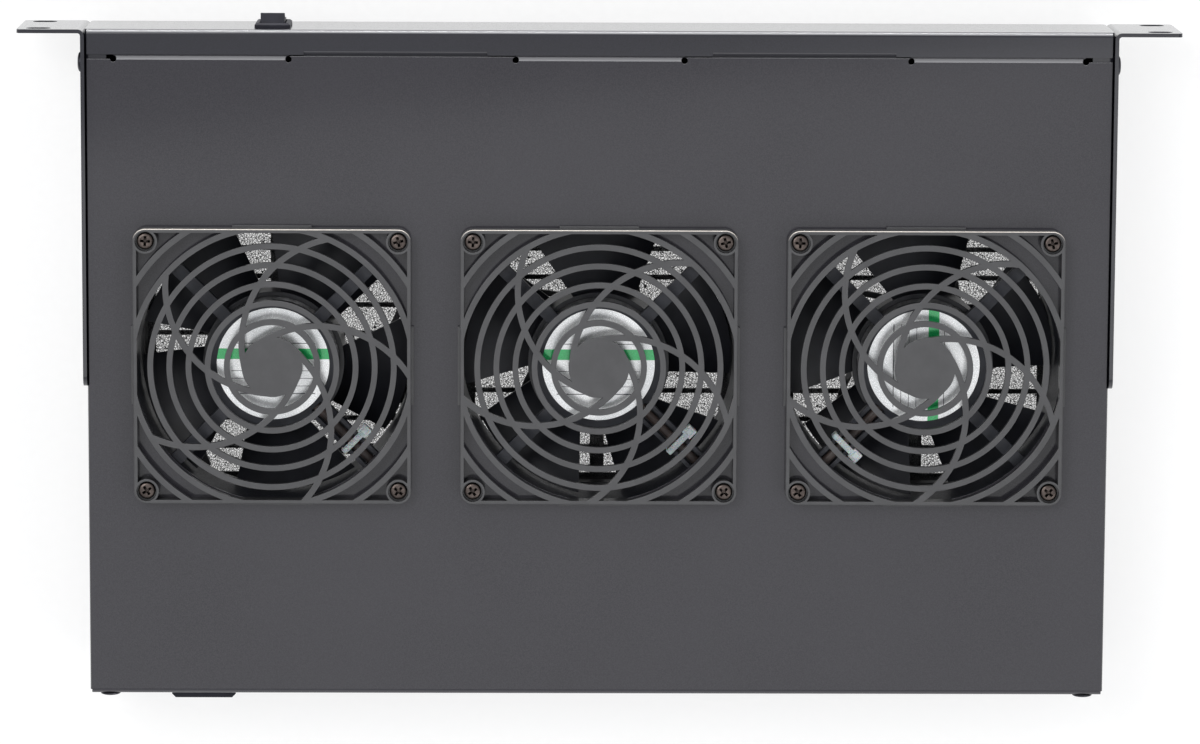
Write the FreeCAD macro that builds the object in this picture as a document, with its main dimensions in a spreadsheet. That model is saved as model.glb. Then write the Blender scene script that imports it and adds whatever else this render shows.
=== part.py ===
"""A one-unit rack fan tray: three 120 mm mains fans between a folded tray and its lid.

Frame: X runs to the right as seen from the front, Y to the rear, Z up, in millimetres.
The origin is the centre of the four rack slots, on the rear faces of the two ears.
Air enters through the filters underneath and leaves through the guards on top.
"""
import FreeCAD, Part
import math
import os

import Sketcher

V = FreeCAD.Vector
doc = FreeCAD.newDocument("rack_fan_tray")

SIZES = [
    # The rack and the two brackets.
    ("panel_width", 482.6, "ear tip to ear tip, the 19 inch panel"),
    ("panel_height", 43.7, "one rack unit less its clearance"),
    ("slot_spacing_x", 465.1, "rack slots, left to right"),
    ("slot_spacing_z", 31.75, "rack slots, upper to lower"),
    ("slot_length", 10.2, "rack slot, end to end"),
    ("slot_width", 6.5, "rack slot, across"),
    ("bracket_sheet", 1.6, "thickness of a bracket"),
    ("bracket_bend", 1.2, "inside radius of a bracket's bend"),
    ("ear_corner", 1.6, "radius of an ear's outer corners"),
    ("arm_length", 149.5, "bracket arm, from the front face"),
    ("arm_corner", 4.5, "radius of the arm's rear corners"),
    ("arm_screw_setback", 14.5, "front bracket screws, from the front face"),
    ("arm_screw_end", 16.0, "rear bracket screws, from the arm's end"),
    ("arm_screw_spacing", 20.0, "bracket screws, upper to lower"),
    # The folded tray and the lid.
    ("body_across", 430.0, "width over both bracket arms"),
    ("body_depth", 280.0, "front face to the lid's rear face"),
    ("sheet", 1.2, "thickness of the tray and the lid"),
    ("sheet_bend", 0.8, "inside radius of their bends"),
    ("lid_inset", 0.9, "lid's edge, in from the tray's side"),
    ("lid_fit", 0.1, "gap between the lid and what it covers"),
    ("side_flange", 9.0, "width of the flanges that carry the lid"),
    ("seam_setback", 10.4, "front strip, from the front face to the seam"),
    ("seam_gap", 0.5, "width of the seam"),
    ("tab_slope", 1.6, "length of a tab's downward step"),
    ("tab_reach", 6.0, "how far a tab goes under its neighbour"),
    ("centre_tab_half", 35.0, "half the lid's middle tab"),
    ("strip_tab_start", 46.7, "inner end of the front strip's tabs"),
    ("strip_tab_end", 122.7, "outer end of the front strip's tabs"),
    ("lid_tab_start", 129.0, "inner end of the lid's outer tabs"),
    ("lid_tab_end", 201.5, "outer end of the lid's outer tabs"),
    ("lid_corner_step", 1.4, "lid's corners, back from the seam"),
    ("relief_radius", 1.3, "relief notch beside a tab"),
    ("rear_drop", 7.5, "height of the lid's rear flange"),
    ("lid_screw_spacing", 410.0, "the two rear lid screws"),
    ("lid_screw_drop", 4.5, "lid screws, below the lid's top"),
    # Screws.
    ("screw_radius", 1.95, "shank of every M4 screw"),
    ("screw_clearance", 0.15, "hole over the shank"),
    ("screw_grip", 0.03, "threaded hole over the shank"),
    ("pan_head_radius", 4.2, "bracket and lid screw heads"),
    ("pan_head_height", 1.9, "bracket and lid screw heads"),
    ("pan_screw_length", 7.0, "shank of the bracket and lid screws"),
    ("pan_head_rim", 0.45, "upright part of a pan head, share of its height"),
    ("pan_head_crown", 0.66, "flat top of a pan head, share of its radius"),
    ("flush_head_radius", 3.45, "countersunk heads of the rear bracket screws"),
    ("countersink", 1.5, "bevel of their holes in the bracket"),
    ("guard_screw_head", 3.6, "radius of the guard screws' heads"),
    ("guard_screw_head_height", 1.6, "guard screws' heads"),
    ("guard_screw_end", 0.6, "guard screws, past the fan's flange"),
    # The fans.
    ("fan_pitch", 136.0, "fan to fan"),
    ("fan_size", 119.5, "fan frame, side to side"),
    ("fan_depth", 38.0, "fan frame, face to face"),
    ("fan_seat_gap", 0.2, "fan frame to the sheet on each face"),
    ("fan_corner", 7.0, "radius of the fan frame's corners"),
    ("fan_hole_spacing", 105.0, "screw holes of the fan, guard and filter"),
    ("fan_flange", 4.0, "thickness of the fan frame's flanges"),
    ("fan_bore", 57.5, "radius of the fan's duct and of the sheet's openings"),
    ("fan_wall", 1.9, "wall round the duct"),
    ("motor_base_radius", 26.5, "disc that carries the motor"),
    ("motor_base_height", 4.0, "the same, thickness"),
    ("motor_base_sink", 1.5, "the same, below the fan's face"),
    ("strut_width", 5.5, "plain strut"),
    ("strut_height", 4.2, "all struts"),
    ("channel_width", 8.8, "strut that carries the leads, across"),
    ("channel_wall", 1.8, "each side wall of that strut"),
    ("channel_floor", 1.0, "bottom of that strut"),
    ("notch_reach", 5.2, "notch where the leads leave, out from the duct's wall"),
    ("notch_drop", 2.0, "the same, below the bottom of the strut's channel"),
    ("label_radius", 23.5, "label on the motor base"),
    ("label_sink", 0.35, "pocket that the label lies in"),
    ("label_sheet", 0.25, "thickness of the label"),
    ("tube_radius", 7.2, "outside of the bearing tube"),
    ("tube_length", 26.0, "bearing tube, below the motor base"),
    ("bearing_radius", 5.5, "outside of a ball bearing"),
    ("bearing_width", 4.0, "one ball bearing"),
    ("shaft_radius", 2.0, "rotor shaft"),
    ("shaft_running", 0.04, "shaft to bearing, radial"),
    ("press_gap", 0.05, "parts pressed together, radial"),
    ("stator_radius", 21.5, "outside of the stator"),
    ("stator_height", 14.0, "iron of the stator"),
    ("coil_height", 3.0, "windings above and below the iron"),
    ("air_gap", 0.5, "stator to rotor core"),
    ("core_wall", 5.5, "rotor core, radial"),
    ("hub_wall", 2.0, "wall of the impeller's hub"),
    ("hub_floor", 2.0, "closed end of the impeller's hub"),
    ("hub_clearance", 2.4, "impeller hub to the motor base"),
    ("hub_rise", 2.0, "impeller hub above the intake face"),
    ("boss_radius", 4.6, "boss that holds the shaft"),
    ("blade_height", 22.0, "blade, along the axis"),
    ("blade_base", 5.0, "blade above the intake face"),
    ("blade_span", 54.0, "blade, degrees round the axis"),
    ("blade_sweep", 8.0, "tip ahead of the root, degrees"),
    ("blade_root_thickness", 2.4, "blade at the hub"),
    ("blade_tip_thickness", 1.5, "blade at the tip"),
    ("tip_gap", 1.2, "blade tip to the duct"),
    ("blade_root_plane", 0.86, "plane of a blade's root section, share of the hub's radius"),
    ("blade_tip_plane", 1.08, "plane of its tip section, share of the tip's radius"),
    ("blade_count", 5, "blades of an impeller"),
    ("arm_count", 5, "spiral arms of a grille"),
    # Guards, filters and their grilles.
    ("guard_size", 115.6, "guard, side to side"),
    ("guard_height", 7.0, "guard, above the sheet"),
    ("guard_corner", 5.4, "radius of the guard's corners"),
    ("guard_wall", 1.6, "wall round the guard"),
    ("guard_edge", 0.45, "rounding of the guard's face edge"),
    ("guard_boss", 5.1, "radius of the guard's screw bosses"),
    ("bar_depth", 2.6, "bars of the grille, along the axis"),
    ("ring_width", 2.4, "bars of the grille, across"),
    ("first_ring", 18.85, "middle radius of the first ring"),
    ("ring_pitch", 7.95, "ring to ring"),
    ("disc_radius", 12.6, "closed disc in the middle"),
    ("arm_radius", 44.8, "curve of a spiral arm"),
    ("arm_offset", 33.6, "centre of that curve, from the guard's centre"),
    ("arm_width", 2.5, "spiral arm, across"),
    ("arm_phase", 34.96, "first spiral arm, degrees"),
    ("arm_from", 84.3, "where an arm meets the wall, degrees on its own curve"),
    ("arm_to", 178.0, "where it meets the disc, degrees on its own curve"),
    ("counterbore_radius", 4.25, "recess round a guard screw"),
    ("counterbore_depth", 2.8, "the same, depth"),
    ("latch_length", 33.0, "step for a clip-on cover, along each side"),
    ("latch_reach", 1.0, "how far that step stands out"),
    ("latch_height", 2.5, "height of that step"),
    ("foam_size", 111.0, "filter foam, side to side"),
    ("foam_thickness", 3.0, "filter foam"),
    ("filter_fit", 0.3, "clip-on cover to the filter base"),
    ("filter_wall", 1.6, "skirt of the clip-on cover"),
    ("filter_face", 1.8, "face of the clip-on cover"),
    ("vent_width", 10.2, "slot of the clip-on cover"),
    ("vent_pitch", 12.2, "slot to slot"),
    ("vent_length", 49.0, "one slot"),
    ("vent_spine", 6.0, "bar between the two rows of slots"),
    # The rocker switch.
    ("switch_x", 136.0, "switch, right of the middle"),
    ("switch_drop", 19.0, "switch centre, below the lid's top"),
    ("bezel_width", 14.8, "switch bezel, across"),
    ("bezel_height", 21.0, "switch bezel, upright"),
    ("bezel_depth", 2.0, "switch bezel, out of the panel"),
    ("bezel_chamfer", 0.8, "bevel of the bezel"),
    ("switch_body_width", 12.8, "switch behind the panel"),
    ("switch_body_height", 18.8, "switch behind the panel"),
    ("switch_body_depth", 15.0, "switch behind the panel"),
    ("cut_out_fit", 0.1, "panel cut-outs, all round"),
    ("rocker_width", 10.0, "rocker, across"),
    ("rocker_radius", 8.2, "rocker's ends, from its pivot"),
    ("rocker_rise", 3.0, "rocker's pressed half, ahead of the pivot"),
    ("rocker_proud", 1.0, "rocker's middle, out of the bezel"),
    ("rocker_angle", 11.0, "each side of level, degrees"),
    ("rocker_back", 3.2, "rocker behind its pivot"),
    ("rocker_fit", 0.5, "rocker to its opening"),
    ("rocker_pin", 1.2, "radius of the rocker's pivot pins"),
    ("rocker_pin_reach", 0.8, "depth of a pivot pin's hole"),
    ("rocker_pin_gap", 0.15, "the pin is shorter by this"),
    ("pin_running", 0.06, "pivot pin in its hole, radial"),
    ("terminal_width", 4.8, "switch and inlet terminals, across"),
    ("terminal_sheet", 0.8, "switch and inlet terminals, thick"),
    ("terminal_length", 8.0, "terminals, outside their housing"),
    ("terminal_spacing", 6.4, "switch terminals, upper to lower"),
    # The mains inlet.
    ("inlet_x", 166.0, "inlet, right of the middle"),
    ("inlet_drop", 8.0, "inlet flange, below the lid's top"),
    ("inlet_width", 26.8, "inlet flange, across"),
    ("inlet_height", 20.4, "inlet flange, upright"),
    ("inlet_reach", 3.5, "inlet flange, out of the panel"),
    ("inlet_chamfer", 1.5, "bevel of the inlet flange"),
    ("socket_width", 23.6, "inlet's hollow, across"),
    ("socket_height", 16.4, "inlet's hollow, upright"),
    ("socket_depth", 16.0, "inlet's hollow, from its face"),
    ("socket_corner", 3.6, "bevel of the hollow's two lower corners"),
    ("inlet_body_wall", 1.0, "inlet behind the panel"),
    ("inlet_back", 4.0, "closed end of the inlet"),
    ("blade_pin_width", 4.0, "inlet pins, upright"),
    ("blade_pin_sheet", 2.0, "inlet pins, thick"),
    ("blade_pin_length", 12.5, "line and neutral pins, in the hollow"),
    ("earth_pin_extra", 1.8, "earth pin, further out"),
    ("blade_pin_spacing", 14.0, "line pin to neutral pin"),
    ("earth_pin_rise", 2.0, "earth pin above and the others below the middle"),
    # Wiring.
    ("block_x", 104.0, "terminal block, right of the middle"),
    ("block_setback", 44.0, "terminal block, from the rear face"),
    ("block_width", 36.0, "terminal block, across"),
    ("block_depth", 20.0, "terminal block, front to rear"),
    ("block_height", 16.0, "terminal block, upright"),
    ("lead_radius", 1.8, "a fan's sleeved lead pair"),
    ("mains_radius", 2.6, "a mains harness in its sleeve"),
    ("earth_radius", 1.3, "earth lead"),
    ("lead_step", 9.0, "leads side by side on the floor"),
    ("lead_lift", 0.3, "leads above the floor"),
    ("lead_rest", 0.15, "leads above the bottom of their strut"),
    ("lead_drop_out", 2.6, "where the leads turn down, out from the duct's wall"),
    ("lead_drop_lean", 4.0, "how far they lean outwards on the way down"),
    ("lead_drop_end", 4.0, "end of the way down, above the middle"),
    ("lead_behind", 9.0, "leads behind the frame"),
    ("lead_behind_height", -7.0, "the same, above the middle"),
    ("lead_lane", 14.0, "first lane on the floor, behind the frames"),
    ("entry_inset", 6.0, "where leads enter the terminal block, from its corners"),
    ("entry_rise", 3.0, "the fans' leads there, above their lane"),
    ("harness_lane", 7.5, "switch harness, beside the right fan"),
    ("harness_gap", 0.2, "harnesses to the switch and the inlet"),
    ("mains_drop", 1.0, "inlet harness below the lower pins' middle"),
    ("stud_offset", 24.0, "earth stud, right of the inlet"),
    ("stud_setback", 2.0, "earth stud, in front of the terminal block's rear"),
    ("stud_height", 10.0, "earth stud above the floor"),
    ("nut_radius", 3.3, "earth stud's nut, corner from its middle"),
    ("nut_height", 5.0, "the same, height"),
    ("tie_radius", 47.0, "cable tie, from the fan's axis"),
    ("tie_strap", 2.6, "cable tie strap, across"),
    ("tie_sheet", 1.0, "cable tie strap, thick"),
    ("tie_head", 4.6, "cable tie head, each way"),
    ("tie_fit", 0.3, "cable tie to the strut"),
]

sheet = doc.addObject("Spreadsheet::Sheet", "Sizes")
for row, (alias, number, note) in enumerate(SIZES, start=1):
    sheet.set(f"A{row}", alias)
    sheet.set(f"B{row}", str(number))
    sheet.set(f"C{row}", note)
    sheet.setAlias(f"B{row}", alias)
doc.recompute()


# ---------------------------------------------------------------- sizes that stay bound
class Size:
    """A length or an angle in degrees: its number and the expression that FreeCAD keeps it by."""

    def __init__(self, value, text):
        self.value = value
        self.text = text

    def __add__(self, other):
        other = as_size(other)
        return Size(self.value + other.value, f"({self.text} + {other.text})")

    def __sub__(self, other):
        other = as_size(other)
        return Size(self.value - other.value, f"({self.text} - {other.text})")

    def __mul__(self, factor):
        factor = as_size(factor)
        return Size(self.value * factor.value, f"({self.text} * {factor.text})")

    def __truediv__(self, factor):
        factor = as_size(factor)
        return Size(self.value / factor.value, f"({self.text} / {factor.text})")

    def __neg__(self):
        return Size(-self.value, f"(0 - {self.text})")

    __radd__ = __add__
    __rmul__ = __mul__


def as_size(number):
    return number if isinstance(number, Size) else Size(float(number), repr(float(number)))


def cosine(angle):
    return Size(math.cos(math.radians(angle.value)), f"cos({angle.text} * 1 deg)")


def sine(angle):
    return Size(math.sin(math.radians(angle.value)), f"sin({angle.text} * 1 deg)")


class Sizes:
    """Every alias of the spreadsheet as an attribute."""

    def __init__(self):
        for alias, number, _ in SIZES:
            setattr(self, alias, Size(number, f"Sizes.{alias}"))


S = Sizes()
ZERO = as_size(0)
FAR = as_size(400)
X_AXIS = V(1, 0, 0)
Z_AXIS = V(0, 0, 1)

# Planes that several pieces share.
FRONT = -S.bracket_sheet
REAR = FRONT + S.body_depth
TRAY_HEIGHT = S.fan_depth + S.sheet * 2 + S.fan_seat_gap * 2
TOP = TRAY_HEIGHT / 2
BOTTOM = -TOP
LID_UNDER = TOP - S.sheet
FLOOR = BOTTOM + S.sheet
TRAY_HALF = S.body_across / 2 - S.bracket_sheet
LID_HALF = TRAY_HALF - S.lid_inset
TRAY_REAR = REAR - S.sheet - S.lid_fit
SEAM = FRONT + S.seam_setback
LID_FRONT = SEAM + S.seam_gap
FAN_Y = FRONT + S.body_depth / 2
FAN_TOP = S.fan_depth / 2
FAN_BOTTOM = -FAN_TOP
FAN_SIDES = (("left", -1, -90.0), ("centre", 0, 0.0), ("right", 1, 0.0))


# ---------------------------------------------------------------- FreeCAD helpers
def bind(thing, path, size):
    """Set one property of an object by expression."""
    thing.setExpression(path, as_size(size).text)


def place(thing, x=ZERO, y=ZERO, z=ZERO, turn=0.0, axis=Z_AXIS):
    """Put an object at a bound position, turned about an axis by a fixed number of degrees."""
    x, y, z = as_size(x), as_size(y), as_size(z)
    thing.Placement = FreeCAD.Placement(V(x.value, y.value, z.value), FreeCAD.Rotation(axis, turn))
    bind(thing, "Placement.Base.x", x)
    bind(thing, "Placement.Base.y", y)
    bind(thing, "Placement.Base.z", z)
    return thing


def start_body(label):
    body = doc.addObject("PartDesign::Body", label)
    body.Label = label
    if hasattr(body, "AllowCompound"):
        body.AllowCompound = True
    return body


def origin_plane(body, role):
    return next(part for part in body.Origin.OriginFeatures if part.Role == role)


def start_sketch(body, role="XY_Plane", offset=ZERO, turn=0.0):
    """A sketch on one of the body's own planes, moved along the plane's normal by offset."""
    sketch = body.newObject("Sketcher::SketchObject", body.Label + "_sketch")
    sketch.AttachmentSupport = (origin_plane(body, role), [""])
    sketch.MapMode = "FlatFace"
    offset = as_size(offset)
    sketch.AttachmentOffset = FreeCAD.Placement(V(0, 0, offset.value), FreeCAD.Rotation(Z_AXIS, turn))
    bind(sketch, "AttachmentOffset.Base.z", offset)
    return sketch


waiting = {}


def tie(sketch, kind, *parts):
    """Note a constraint with no size; it joins the sketch with all the others, in one go."""
    waiting.setdefault(sketch.Name, []).append((Sketcher.Constraint(kind, *parts), None))


def hold(sketch, kind, *parts):
    """Note a dimension whose last part is a Size."""
    size = as_size(parts[-1])
    constraint = Sketcher.Constraint(kind, *parts[:-1], size.value)
    waiting.setdefault(sketch.Name, []).append((constraint, size.text))


def close_sketch(sketch):
    """Add the noted constraints and bind the dimensions to their expressions."""
    noted = waiting.pop(sketch.Name, [])
    sketch.addConstraint([constraint for constraint, _ in noted])
    for index, (_, text) in enumerate(noted):
        if text:
            sketch.setExpression(f"Constraints[{index}]", text)


def hold_point(sketch, geometry, point, x, y):
    hold(sketch, "DistanceX", -1, 1, geometry, point, x)
    hold(sketch, "DistanceY", -1, 1, geometry, point, y)


def outline(sketch, corners):
    """A closed run of straight lines through the corners."""
    corners = [(as_size(x), as_size(y)) for x, y in corners]
    points = [V(x.value, y.value, 0) for x, y in corners]
    lines = [Part.LineSegment(a, b) for a, b in zip(points, points[1:] + points[:1])]
    first = sketch.addGeometry(lines, False)[0]
    count = len(lines)
    for i, (x, y) in enumerate(corners):
        tie(sketch, "Coincident", first + i, 2, first + (i + 1) % count, 1)
        hold_point(sketch, first + i, 1, x, y)


def bent_outline(sketch, corners):
    """An outline of upright and level runs. Each corner is (x, y, radius), sharp where it is zero."""
    corners = [(as_size(x), as_size(y), radius) for x, y, radius in corners]
    ends = []
    for i, (x, y, radius) in enumerate(corners):
        corner = V(x.value, y.value, 0)
        if not radius.value:
            ends.append((corner, corner, None))
            continue
        before, after = corners[i - 1], corners[(i + 1) % len(corners)]
        arriving = (corner - V(before[0].value, before[1].value, 0)).normalize()
        leaving = (V(after[0].value, after[1].value, 0) - corner).normalize()
        inward = V(leaving - arriving)
        centre = (x + radius * inward.x, y + radius * inward.y)
        begin, end = corner - arriving * radius.value, corner + leaving * radius.value
        at_begin, at_end = (2, 1) if arriving.cross(leaving).z < 0 else (1, 2)
        hub = corner + inward * radius.value
        first, last = (begin, end) if at_begin == 1 else (end, begin)
        span = [math.atan2(point.y - hub.y, point.x - hub.x) for point in (first, last)]
        arc = sketch.addGeometry(Part.ArcOfCircle(Part.Circle(hub, Z_AXIS, radius.value), *span), False)
        hold_point(sketch, arc, 3, *centre)
        hold(sketch, "Radius", arc, radius)
        ends.append((begin, end, (arc, at_begin, at_end)))
    lines = [sketch.addGeometry(Part.LineSegment(here[1], there[0]), False)
             for here, there in zip(ends, ends[1:] + ends[:1])]
    for i, ((x, y, _), (_, _, arc)) in enumerate(zip(corners, ends)):
        arriving, leaving = lines[i - 1], lines[i]
        if arc:
            tie(sketch, "Tangent", arriving, 2, arc[0], arc[1])
            tie(sketch, "Tangent", arc[0], arc[2], leaving, 1)
        else:
            tie(sketch, "Coincident", arriving, 2, leaving, 1)
            hold_point(sketch, leaving, 1, x, y)


def rectangle(sketch, left, right, low, high):
    outline(sketch, [(left, low), (right, low), (right, high), (left, high)])


def circle(sketch, x, y, radius):
    x, y, radius = as_size(x), as_size(y), as_size(radius)
    ring = sketch.addGeometry(Part.Circle(V(x.value, y.value, 0), Z_AXIS, radius.value), False)
    hold_point(sketch, ring, 3, x, y)
    hold(sketch, "Radius", ring, radius)


def rounded_square(sketch, half_x, half_y, radius):
    """A rectangle about the sketch's origin with four round corners."""
    x, y, r = half_x.value, half_y.value, radius.value
    corners = [(x, y, 0), (-x, y, 90), (-x, -y, 180), (x, -y, 270)]
    arcs = []
    for cx, cy, start in corners:
        centre = V(math.copysign(abs(cx) - r, cx), math.copysign(abs(cy) - r, cy), 0)
        span = (math.radians(start), math.radians(start + 90))
        arcs.append(sketch.addGeometry(Part.ArcOfCircle(Part.Circle(centre, Z_AXIS, r), *span), False))
    inner_x, inner_y = half_x - radius, half_y - radius
    centres = [(inner_x, inner_y), (-inner_x, inner_y), (-inner_x, -inner_y), (inner_x, -inner_y)]
    for arc, (cx, cy) in zip(arcs, centres):
        hold_point(sketch, arc, 3, cx, cy)
    hold(sketch, "Radius", arcs[0], radius)
    for arc, following in zip(arcs, arcs[1:] + arcs[:1]):
        if following != arcs[0]:
            tie(sketch, "Equal", arc, following)
        start = sketch.getPoint(arc, 2)
        end = sketch.getPoint(following, 1)
        line = sketch.addGeometry(Part.LineSegment(start, end), False)
        tie(sketch, "Tangent", arc, 2, line, 1)
        tie(sketch, "Tangent", line, 2, following, 1)


def slot(sketch, x, y, length, width):
    """A slot along the sketch's x with round ends."""
    reach = (length - width) / 2
    radius = width / 2
    x, y = as_size(x), as_size(y)
    left = Part.Circle(V((x - reach).value, y.value, 0), Z_AXIS, radius.value)
    right = Part.Circle(V((x + reach).value, y.value, 0), Z_AXIS, radius.value)
    arc_left = sketch.addGeometry(Part.ArcOfCircle(left, math.pi / 2, 3 * math.pi / 2), False)
    arc_right = sketch.addGeometry(Part.ArcOfCircle(right, -math.pi / 2, math.pi / 2), False)
    hold_point(sketch, arc_left, 3, x - reach, y)
    hold_point(sketch, arc_right, 3, x + reach, y)
    hold(sketch, "Radius", arc_left, radius)
    for begin, end in ((arc_left, arc_right), (arc_right, arc_left)):
        line = sketch.addGeometry(Part.LineSegment(sketch.getPoint(begin, 2), sketch.getPoint(end, 1)), False)
        tie(sketch, "Tangent", begin, 2, line, 1)
        tie(sketch, "Tangent", line, 2, end, 1)


def pad(body, sketch, length, both_ways=False, backwards=False):
    close_sketch(sketch)
    feature = body.newObject("PartDesign::Pad", body.Label + "_pad")
    feature.Profile = sketch
    feature.Midplane = both_ways
    feature.Reversed = backwards
    bind(feature, "Length", length)
    body.Tip = feature
    return feature


def pocket(body, sketch, length, both_ways=False, backwards=False):
    close_sketch(sketch)
    feature = body.newObject("PartDesign::Pocket", body.Label + "_pocket")
    feature.Profile = sketch
    feature.Midplane = both_ways
    feature.Reversed = backwards
    bind(feature, "Length", length)
    body.Tip = feature
    return feature


def round_edges(body, radius, chosen, kind="Fillet"):
    """Round (or bevel) the edges of the body's tip that chosen() picks."""
    doc.recompute()
    base = body.Tip
    names = [f"Edge{i}" for i, edge in enumerate(base.Shape.Edges, start=1) if chosen(edge)]
    feature = body.newObject(f"PartDesign::{kind}", body.Label + "_" + kind.lower())
    feature.Base = (base, names)
    bind(feature, "Radius" if kind == "Fillet" else "Size", radius)
    body.Tip = feature
    return feature


def runs_along(edge, axis):
    """Whether an edge is straight and parallel to an axis given as 0, 1 or 2."""
    if not isinstance(edge.Curve, Part.Line):
        return False
    direction = edge.Curve.Direction
    return abs(abs((direction.x, direction.y, direction.z)[axis]) - 1) < 1e-6


def near(value, size, allowance=0.01):
    return abs(value - as_size(size).value) < allowance


def solid_box(label, x, y, z, across, deep, tall):
    """A box from its lowest corner."""
    box = doc.addObject("Part::Box", label)
    bind(box, "Length", across)
    bind(box, "Width", deep)
    bind(box, "Height", tall)
    return place(box, x, y, z)


def solid_cylinder(label, x, y, z, radius, height, turn=0.0, axis=Z_AXIS):
    cylinder = doc.addObject("Part::Cylinder", label)
    bind(cylinder, "Radius", radius)
    bind(cylinder, "Height", height)
    return place(cylinder, x, y, z, turn, axis)


def join(label, pieces):
    joined = doc.addObject("Part::MultiFuse", label)
    joined.Label = label
    joined.Shapes = pieces
    return joined


def cut(label, base, *tools):
    result = doc.addObject("Part::Cut", label)
    result.Label = label
    result.Base = base
    result.Tool = tools[0] if len(tools) == 1 else join(label + "_tools", list(tools))
    return result


def group(label, pieces):
    """Several separate solids that share one node."""
    gathered = doc.addObject("Part::Compound", label)
    gathered.Label = label
    gathered.Links = pieces
    return gathered


def custom(label, shape):
    feature = doc.addObject("Part::Feature", label)
    feature.Label = label
    feature.Shape = shape
    return feature


nodes = []


def keep(thing):
    """Mark an object as a finished sub-part, which is written to a file of its own."""
    nodes.append(thing)
    return thing


def corner_signs():
    return [(sx, sy) for sx in (-1, 1) for sy in (-1, 1)]


def fan_centre(side):
    return S.fan_pitch * side


# ---------------------------------------------------------------- tray, lid and brackets
def add_fan_openings(sketch):
    for _, side, _ in FAN_SIDES:
        circle(sketch, fan_centre(side), FAN_Y, S.fan_bore)
        for sx, sy in corner_signs():
            hole = S.screw_radius + S.screw_clearance
            x = fan_centre(side) + S.fan_hole_spacing / 2 * sx
            circle(sketch, x, FAN_Y + S.fan_hole_spacing / 2 * sy, hole)


def arm_screw_places():
    """The four screws of one bracket, as (distance along Y, height)."""
    front = FRONT + S.arm_screw_setback
    rear = FRONT + S.arm_length - S.arm_screw_end
    return [(y, S.arm_screw_spacing / 2 * sign) for y in (front, rear) for sign in (-1, 1)]


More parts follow.
